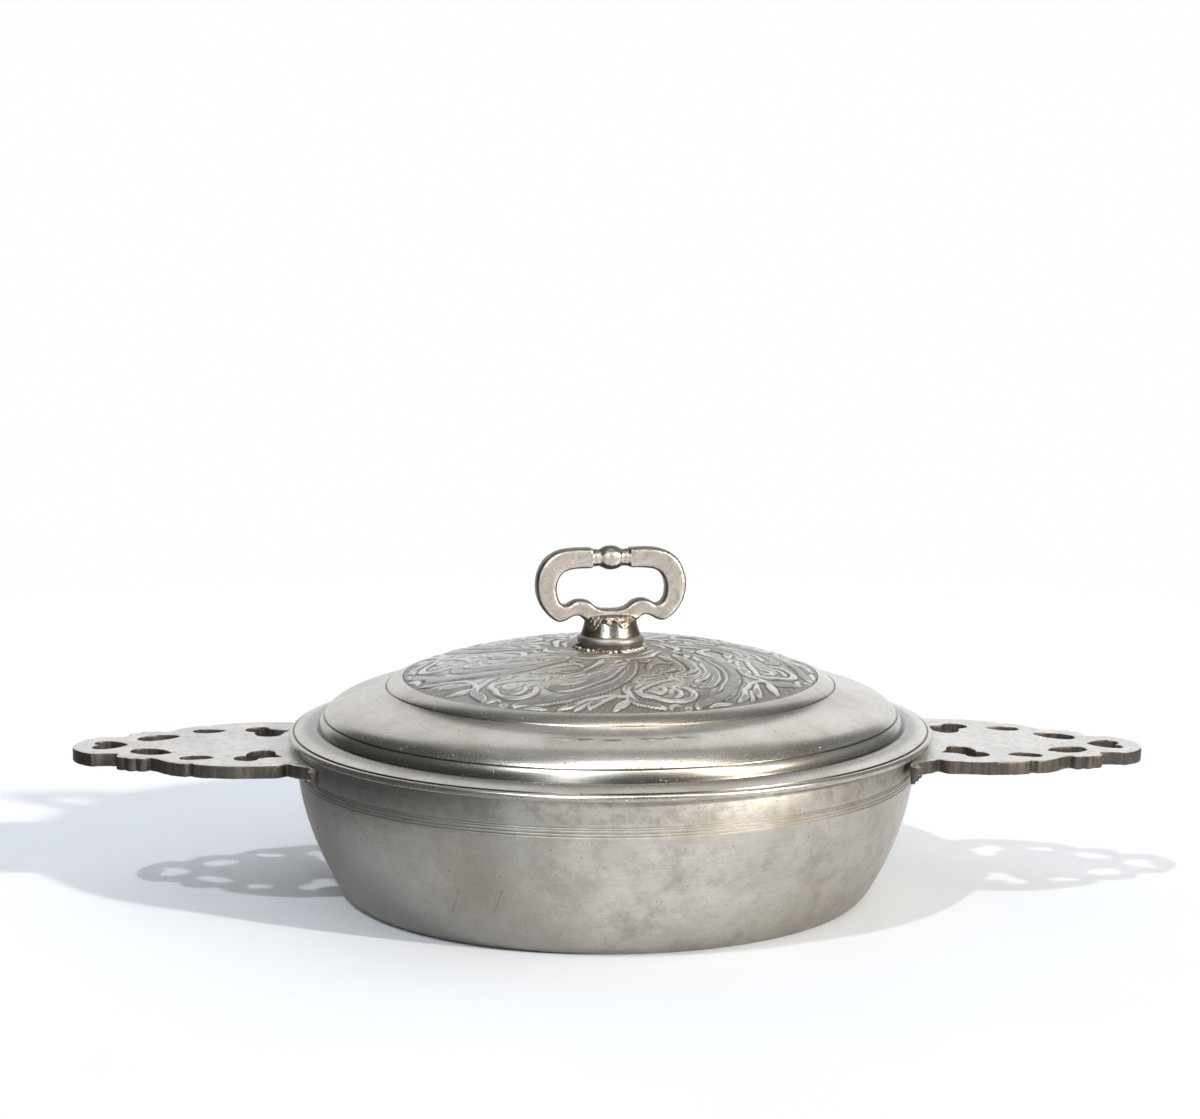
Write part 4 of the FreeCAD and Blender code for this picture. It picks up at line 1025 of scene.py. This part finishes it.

# %% [markdown]
# The bowl stands a little more than a millimetre off the lid's middle, so it has an
# axis of its own. Four fine lines part the plain band from the side below it. The
# marks follow the photograph: brown clouds on the right, a foot painted darker as
# painted shade, and two scored lines in front.

# %% The bowl
BOWL_MIDDLE = (-1.4, -1.3)
BAND_RADIUS = 85.35
BAND_LINES = (36.3, 35.7, 34.8, 33.95)
BAND_FOOT = 33.4
BOWL_WALL = 2.4
INNER_RADIUS = BAND_RADIUS - BOWL_WALL
SIDE = [(84.85, 30.0), (84.2, 26.7), (83.35, 23.35), (82.33, 20.1), (81.18, 16.85),
        (79.88, 13.65), (78.48, 10.55), (76.95, 7.5), (75.25, 4.5), (74.55, 3.25),
        (73.7, 2.05), (72.75, 0.95), (71.6, 0.0)]
UNDER = [(64.0, 0.0), (63.2, 0.8), (0.0, 0.8)]
INSIDE = [(0.0, 3.0), (35.0, 3.0), (67.6, 3.0), (69.9, 3.5), (71.9, 4.7), (73.3, 6.4),
          (74.9, 9.4), (77.0, 14.3), (79.3, 21.0), (81.3, 27.9), (INNER_RADIUS, BAND_FOOT)]
LIP = [(INNER_RADIUS, 43.1), (INNER_RADIUS + 0.12, 43.38), (INNER_RADIUS + 0.4, 43.5),
       (BAND_RADIUS - 0.4, 43.5), (BAND_RADIUS - 0.12, 43.38), (BAND_RADIUS, 43.1)]
# Scored lines, as x and height of the upper end and of the lower end
SCORED = ((-41.5, 17.8, -43.6, 9.6), (-30.3, 18.8, -33.0, 10.8))


def bowl_marks(f, colour):
    """Brown clouds on the right, a foot painted darker as shade, nicks in the band, and the scored
    lines.
    """
    clouds = f.noise(13.0, 5.0, 0.66, (9.0, 2.0, 40.0))
    mottled = f.noise(3.2, 5.0, 0.7, (1.0, 8.0, 3.0))
    streaks = f.noise(7.0, 3.0, 0.6, (2.0, 2.0, 2.0), (1.0, 1.0, 14.0))
    right = (f.x + (clouds - 0.5) * 30.0).fade(26.0, 56.0) * (
        1.0 - (f.x + (clouds - 0.5) * 16.0).fade(68.0, 80.0))
    patch = f.spot((-36.0, -74.0, 20.0), 13.0, 10.0)
    # Painted shade: the side darkens towards the bottom
    foot = 1.0 - (f.z + (clouds - 0.5) * 12.0).fade(1.0, 17.0)
    colour = coats(
        colour,
        (right * (0.12 + clouds * 0.55), (0.29, 0.262, 0.222)),
        ((clouds * 0.7 + mottled * 0.3).fade(0.47, 0.66) * 0.42, (0.30, 0.268, 0.218)),
        (patch * (0.15 + mottled * 0.6), (0.28, 0.252, 0.21)),
        (foot * 0.45, (0.25, 0.235, 0.21)),
        (f.z.fade(37.0, 37.4) * mottled.fade(0.42, 0.70) * 0.42, (0.24, 0.215, 0.18)),
        (streaks.fade(0.52, 0.70) * 0.28, (0.33, 0.30, 0.26)))
    front = 1.0 - f.y.fade(-20.0, -10.0)
    for x_top, z_top, x_low, z_low in SCORED:
        lean = (x_top - x_low) / (z_top - z_low)
        across = f.x - (f.z - z_low) * lean + (mottled - 0.5) * 0.5
        line = near(across, x_low, 0.10, 0.26) * f.z.fade(z_low, z_low + 0.6) * (
            1.0 - f.z.fade(z_top - 0.6, z_top))
        colour = coats(colour, (line * front * (0.15 + mottled * 0.5), (0.14, 0.13, 0.12)))
    return colour


def turned_lines(radius, heights, half=0.22, depth=0.22):
    """Fine V cuts in an upright side, from the top down."""
    cuts = []
    for height in heights:
        cuts += [(radius, height + half), (radius - depth, height), (radius, height - half)]
    return cuts


bowl_line = INSIDE + LIP + turned_lines(BAND_RADIUS, BAND_LINES) + [(BAND_RADIUS, BAND_FOOT)]
bowl_line += SIDE + UNDER
bowl = lathe("bowl_shell_turned", bowl_line, middle=BOWL_MIDDLE)
bowl.data.materials.append(turned_pewter(
    "bowl_pewter", 1.0, stain=0.50, wear=0.9, gloss=0.42, clouding=0.6, ripple=1.0,
    shade_side=0.58, middle=BOWL_MIDDLE, own_marks=bowl_marks))
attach(bowl, "bowl")
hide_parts("bowl_shell")
print("bowl:", len(bowl.data.polygons), "faces")

# %% [markdown]
# The socket is a short neck that widens into a rounded foot. Only its front is
# polished. Its sides and back are painted dark brown, for old flux and as painted
# shade on its flanks.

# %% The socket
SOCKET = [(0.0, 75.0), (7.2, 75.0), (7.28, 74.6), (7.4, 74.0), (7.6, 73.2), (7.85, 72.4),
          (8.1, 71.8), (8.3, 71.35), (8.22, 71.1), (8.55, 70.98), (8.9, 70.72), (9.18, 70.3),
          (9.3, 69.8), (9.25, 69.4), (9.0, 69.05), (8.7, 68.6), (8.7, 67.5), (0.0, 67.6)]
SOCKET_STEPS = 128


def socket_pewter():
    """Polished in front; the dark flanks and back, and the foot, are rougher."""
    f = Finish("socket_pewter")
    clouds = f.noise(2.6, 4.0, 0.6)
    rings = f.line_noise(f.z, 0.35, 3.0)
    foot = 1.0 - f.z.fade(71.0, 71.3)
    # Painted shade and old flux: dark brown away from the front and at the back
    turned_away = 1.0 - near(f.x + (clouds - 0.5) * 3.0, 0.9, 2.7, 4.2)
    flux_and_shade = turned_away.maths("MAXIMUM", turned_away, f.y.fade(-3.0, 0.0)) * (1.0 - foot)
    colour = coats(
        mix_colours(flux_and_shade * 0.95, (0.70, 0.66, 0.60), (0.12, 0.095, 0.07)),
        (foot * 0.85, (0.25, 0.235, 0.215)),
        (clouds.fade(0.5, 0.75) * 0.5, STAIN))
    rough = 0.21 + foot * 0.24 + flux_and_shade * 0.20 + clouds * 0.06
    return f.finish(colour, rough, rings * 0.06 + clouds * (0.3 + flux_and_shade), LATHE_DEPTH)


socket = lathe("handle_socket_turned", SOCKET, SOCKET_STEPS)
socket.data.materials.append(socket_pewter())
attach(socket, "lid")
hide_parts("handle_socket")
print("socket:", len(socket.data.polygons), "faces")

# %% [markdown]
# The ears and the handle's loop are sand castings. Their edges are round from wear,
# and no face is quite flat. Each starts as a copy of its construction piece. A fine
# even mesh is laid over it, smoothed, and pushed in and out by a little noise. How
# much a place is a side wall, and how much it is an outer edge, is measured on the
# new mesh and kept: sides are painted dark, partly as painted shade, and edges get
# a painted highlight as well as the brightness of wear.

# %% Worn castings
# What one round of smoothing takes off a face, in millimetres
LOST_IN_A_ROUND = 0.0008
UP = (0.0, 0.0, 1.0)


def mean_of_neighbours(values, ends, count):
    """For each point of a mesh, the mean value of the points it shares an edge with."""
    total = np.zeros(values.shape)
    valence = np.zeros(count)
    for here, there in ((0, 1), (1, 0)):
        np.add.at(total, ends[:, here], values[ends[:, there]])
        np.add.at(valence, ends[:, here], 1.0)
    return total / (valence[:, None] if values.ndim > 1 else valence)


def read_all(items, key, width, kind=float):
    """One property of many parts of a mesh, as a table with a row for each."""
    values = np.empty(len(items) * width, dtype=kind)
    items.foreach_get(key, values)
    return values.reshape(-1, width)


def smooth(thing, name, rounds):
    """A modifier that moves each point to the middle of its neighbours, again and again."""
    soften = thing.modifiers.new(name, "SMOOTH")
    soften.factor = 0.5
    soften.iterations = rounds
    return soften


def take_shape(thing):
    """Keep the result of the modifiers as the object's own mesh."""
    fine = plain_mesh(thing)
    thing.modifiers.clear()
    thing.data = fine
    return fine


def wear_more(thing, rounds, clear_of):
    """Round a casting further, but not near its middle, where the bead is."""
    group = thing.vertex_groups.new(name="more wear")
    for vertex in thing.data.vertices:
        share = (abs(vertex.co.x) / MM - clear_of) / 2.0
        if share > 0.0:
            group.add([vertex.index], min(1.0, share), "REPLACE")
    smooth(thing, "more wear", rounds).vertex_group = group.name
    fine = take_shape(thing)
    thing.vertex_groups.clear()
    return fine


def worn_casting(node, name, cell, rounds, ripple, flat_way, draft=0.0, more_rounds=0,
                 clear_of=0.0):
    """A smoothed and slightly uneven copy of a construction piece; sizes in millimetres.

    flat_way is the direction in which its two flat faces look, and draft is how
    far the rear face stands to the left for each millimetre of depth. more_rounds
    of smoothing follow, but only farther than clear_of from the middle.
    """
    shape = bmesh.new()
    shape.from_mesh(nodes[node].data)
    bmesh.ops.remove_doubles(shape, verts=shape.verts, dist=1e-6)
    mesh = bpy.data.meshes.new(name)
    shape.to_mesh(mesh)
    shape.free()
    thing = add_object(name, mesh)
    remesh = thing.modifiers.new("even mesh", "REMESH")
    remesh.mode = "VOXEL"
    remesh.voxel_size = cell * MM
    smooth(thing, "worn edges", rounds)
    fine = take_shape(thing)
    bpy.data.meshes.remove(mesh)
    if more_rounds:
        fine = wear_more(thing, more_rounds, clear_of)

    place = read_all(fine.vertices, "co", 3)
    normal = read_all(fine.vertex_normals, "vector", 3)
    ends = read_all(fine.edges, "vertices", 2, int)
    count = len(place)
    off_mean = place - mean_of_neighbours(place, ends, count)
    bulge = np.einsum("ij,ij->i", off_mean, normal) / (cell * MM)
    for _ in range(2):
        bulge = 0.5 * bulge + 0.5 * mean_of_neighbours(bulge, ends, count)
    lost = LOST_IN_A_ROUND * rounds
    bumps = np.array([noise.fractal(Vector(p) * 300.0, 0.8, 2.0, 3)
                      + 0.5 * noise.noise(Vector(p) * 1300.0) for p in place])
    place += normal * ((lost / ripple + bumps) * ripple * MM)[:, None]
    place[:, 0] -= draft * (place @ np.array(flat_way))
    fine.vertices.foreach_set("co", place.ravel())
    keep_value(fine, "outer_edge", bulge)
    keep_value(fine, "side_wall", 1.0 - np.abs(normal @ np.array(flat_way)))
    fine.polygons.foreach_set("use_smooth", [True] * len(fine.polygons))
    fine.materials.clear()
    fine.update()
    print(name, len(fine.polygons), "faces; bulge by percent",
          np.percentile(bulge, (1, 5, 50, 95, 99)).round(3))
    return thing


# %% [markdown]
# A cast face is pale and spotty. Its sides are painted dark, partly as painted
# shade and partly as brown casting skin with the marks of the mould. Between them
# runs a bright edge, worn bright by hands and cloths and with a painted highlight.

# %% The ears and the loop
CAST_DEPTH = 0.16
LOOP_TURN = math.radians(5.0)
LOOP_WAY = (-math.sin(LOOP_TURN), math.cos(LOOP_TURN), 0.0)


def cast_pewter(name, face, side, side_share, metallic, gloss, turn_from=0.26, blotch=0.7):
    """Cast pewter: pale faces, darker sides, and edges worn and painted bright.

    face and side are the two colours, and side_share is how dark the sides are painted.
    turn_from is how far a place must have turned from the flat face to be a side.
    blotch is how strong the spots on the face are.
    """
    f = Finish(name)
    edge = f.kept("outer_edge")
    side_wall = f.kept("side_wall")
    clouds = f.noise(9.0, 4.0, 0.6)
    grain = f.noise(0.45, 3.0, 0.65)
    bars = f.noise(2.6, 4.0, 0.7, (2.0, 5.0, 9.0), (1.0, 1.0, 0.18))
    specks = f.pits(0.30, 0.16, (2.0, 9.0, 4.0))
    sparks = f.noise(1.1, 2.0, 0.5, (7.0, 1.0, 3.0)).fade(0.56, 0.66)
    blotches = f.noise(2.4, 4.0, 0.65, (4.0, 4.0, 1.0))
    # Painted shade: sides turned away from the flat face are darker, with brown mould marks
    brown = side_wall.fade(turn_from, turn_from * 1.9) * side_share
    walls = mix_colours(bars.fade(0.42, 0.72), side, scaled(side, 2.0))
    # Painted highlight: a bright band where face turns into side, on top of real wear
    rubbed_and_glint = edge.maths("MAXIMUM", edge.fade(0.035, 0.11), side_wall.fade(0.03, 0.10)) * (
        1.0 - side_wall.fade(turn_from * 0.7, turn_from * 1.3))
    colour = coats(
        mix_colours(clouds.fade(0.3, 0.7), face, scaled(face, 0.85)),
        (blotches.fade(0.48, 0.72) * blotch, scaled(face, 0.58)),
        (brown, walls),
        (rubbed_and_glint * (0.35 + 0.65 * sparks), (0.86, 0.84, 0.79)),
        ((-edge).fade(0.015, 0.06) * 0.8, (0.09, 0.075, 0.06)),
        (specks * 0.6, (0.10, 0.085, 0.07)))
    rough = gloss + grain * 0.12 - rubbed_and_glint * sparks * 0.22
    height = grain * 0.16 + clouds * 0.4 + bars * brown * 0.8 - specks * 0.6
    return f.finish(colour, rough, height, CAST_DEPTH, metallic)


ear_metal = cast_pewter("ear_pewter", (0.76, 0.745, 0.72), (0.095, 0.08, 0.068),
                        side_share=1.0, metallic=0.75, gloss=0.38)
for ear_side in ("left", "right"):
    ear = worn_casting(f"ear_{ear_side}", f"ear_{ear_side}_cast", cell=0.36, rounds=2,
                       ripple=0.05, flat_way=UP)
    ear.data.materials.append(ear_metal)
    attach(ear, "bowl")
    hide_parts(f"ear_{ear_side}")

loop = worn_casting("handle_loop", "handle_loop_cast", cell=0.22, rounds=46, ripple=0.07,
                    flat_way=LOOP_WAY, draft=0.07, more_rounds=110, clear_of=5.0)
loop.data.materials.append(cast_pewter(
    "handle_pewter", (0.74, 0.675, 0.595), (0.085, 0.072, 0.062), side_share=0.95,
    metallic=0.62, gloss=0.30, turn_from=0.12, blotch=0.75))
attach(loop, "lid")
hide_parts("handle_loop")

# %% [markdown]
# Solder is put on by hand. It lies in drops that ran together: a rough ring round
# the socket's foot, five uneven patches over the seam below the loop, and a ragged
# bead under each ear. The right ear stands off the bowl, so solder fills the gap
# there. The drops are written as points with radii, chosen with a fixed seed. A
# geometry tree melts them into one lump and roughens it.

# %% Solder that ran together
SOLDER_DEPTH = 0.12


def solder_metal():
    """Bright where it was filed, brown in between; above the socket nearly all is brown."""
    f = Finish("solder")
    clouds = f.noise(1.6, 3.0, 0.6)
    grain = f.noise(0.35, 3.0, 0.6)
    seam = f.z.fade(71.6, 72.4)
    filed = (clouds - seam * 0.10).fade(0.42, 0.60)
    colour = mix_colours(filed, (0.24, 0.20, 0.155), (0.80, 0.76, 0.69))
    colour = mix_colours(seam * 0.45, colour, (0.23, 0.185, 0.135))
    return f.finish(colour, 0.24 + grain * 0.16, clouds * 0.8 + grain * 0.3, SOLDER_DEPTH, 0.95)


def solder_tree(material):
    inputs = {
        "Cell": ("NodeSocketFloat", 0.16 * MM),
        "Ripple": ("NodeSocketFloat", 0.22 * MM),
        "Material": ("NodeSocketMaterial", material),
    }
    tree, given = new_tree("run_together", inputs)
    size = add_node(tree, "GeometryNodeInputNamedAttribute", {"data_type": "FLOAT"}, {
        "Name": "drop"})
    drops = size.node("GeometryNodeMeshToPoints", None, {
        "Mesh": given["Geometry"], "Radius": size})
    cloud = size.node("GeometryNodePointsToVolume", {"resolution_mode": "VOXEL_SIZE"}, {
        "Points": drops, "Voxel Size": given["Cell"], "Radius": size})
    lump = size.node("GeometryNodeVolumeToMesh", None, {"Volume": cloud, "Threshold": 0.1})
    rough = add_node(tree, "ShaderNodeTexNoise", None, {"Scale": 900.0, "Detail": 2.0})
    normal = add_node(tree, "GeometryNodeInputNormal")
    push = normal.node("ShaderNodeVectorMath", {"operation": "SCALE"}, {
        0: normal, "Scale": (rough - 0.5) * given["Ripple"]})
    lump = lump.node("GeometryNodeSetPosition", None, {"Geometry": lump, "Offset": push})
    finish_tree(tree, lump, given["Material"])
    return tree, inputs


def run_solder(drops, replaced, name, body):
    """Melt (x, y, z, radius) drops, in millimetres, into one piece of solder."""
    mesh = bpy.data.meshes.new(name + "_drops")
    mesh.from_pydata([(x * MM, y * MM, z * MM) for x, y, z, _ in drops], [], [])
    keep_value(mesh, "drop", [r * MM for *_, r in drops])
    points = add_object(name + "_drops", mesh)
    piece = run_tree(points, SOLDER_TREE, SOLDER_INPUTS, name)
    bpy.data.objects.remove(points)
    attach(piece, body)
    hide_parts(replaced)
    print(name, len(piece.data.polygons), "faces")


SOLDER_TREE, SOLDER_INPUTS = solder_tree(solder_metal())
print("solder tree:", len(SOLDER_TREE.nodes), "nodes")

# %% [markdown]
# Three functions place the drops. A solderer works round the joint, so the places
# are written as a radius, an angle from the front and a height.

# %% Drops of solder
# Patches of the seam: middle and half width in degrees, and the height of the low end
SEAM_PATCHES = ((-45.0, 25.0, 73.0), (-5.0, 10.0, 74.9), (31.0, 27.0, 73.7),
                (140.0, 30.0, 73.2), (-140.0, 28.0, 73.0))
SEAM_TOP = 76.4
SEAM_DROPS = 150
FOOT_STEPS = 72
EAR_STEPS = 46
EAR_SPREAD = 34.0
GAP_DROPS = 420

chance = random.Random(4)


def polar(radius, degrees, height, size):
    """A drop at a radius and an angle from the front, positive to the right."""
    angle = math.radians(degrees)
    return (radius * math.sin(angle), -radius * math.cos(angle), height, size)


def foot_drops():
    """A ring round the socket's foot, with some drops outside it."""
    drops = []
    for step in range(FOOT_STEPS):
        degrees = step * 5.0 + chance.uniform(-2.0, 2.0)
        radius = chance.uniform(9.2, 9.9)
        height = dome_height(radius * MM) / MM + 0.15
        drops.append(polar(radius, degrees, height, chance.uniform(0.35, 0.75)))
        if chance.random() < 0.55:
            radius = chance.uniform(10.0, 10.7)
            height = dome_height(radius * MM) / MM
            drops.append(polar(radius, degrees, height, chance.uniform(0.25, 0.45)))
    return drops


def seam_drops():
    """Patches that hang from the loop's feet, in front and behind."""
    drops = []
    for middle, half, low in SEAM_PATCHES:
        for _ in range(SEAM_DROPS):
            height = chance.uniform(low, SEAM_TOP)
            narrow = 0.25 + 0.75 * (height - low) / (SEAM_TOP - low)
            degrees = middle + half * narrow * chance.uniform(-1.0, 1.0)
            neck = float(np.interp(height, (71.8, 75.0), (8.1, 7.2)))
            lift = max(0.0, height - 75.0)
            radius = neck - 0.10 - lift * 1.05 * abs(math.cos(math.radians(degrees)))
            drops.append(polar(radius, degrees, height, chance.uniform(0.30, 0.50)))
    return drops


def ear_drops(side):
    """A bead under an ear, 1 for the right and -1 for the left, and the right one's gap."""
    drops = []
    for step in range(EAR_STEPS):
        degrees = side * 90.0 + (step - 22.5) * EAR_SPREAD / EAR_STEPS + chance.uniform(-0.4, 0.4)
        drops.append(polar(86.5, degrees, chance.uniform(36.3, 37.2), chance.uniform(0.45, 0.85)))
        drops.append(polar(chance.uniform(86.8, 87.3), degrees, 37.1, chance.uniform(0.4, 0.6)))
    if side > 0:
        for _ in range(GAP_DROPS):
            degrees = 90.0 + chance.uniform(-16.5, 16.5)
            radius = chance.uniform(84.0, 86.2)
            height = chance.uniform(36.4, 42.4)
            drops.append(polar(radius, degrees, height, chance.uniform(0.7, 1.0)))
    return drops


run_solder(foot_drops(), "socket_solder", "socket_solder_run", "lid")
run_solder(seam_drops(), "loop_solder", "loop_solder_run", "lid")
run_solder(ear_drops(1), "ear_solder_right", "ear_solder_right_run", "bowl")
run_solder(ear_drops(-1), "ear_solder_left", "ear_solder_left_run", "bowl")
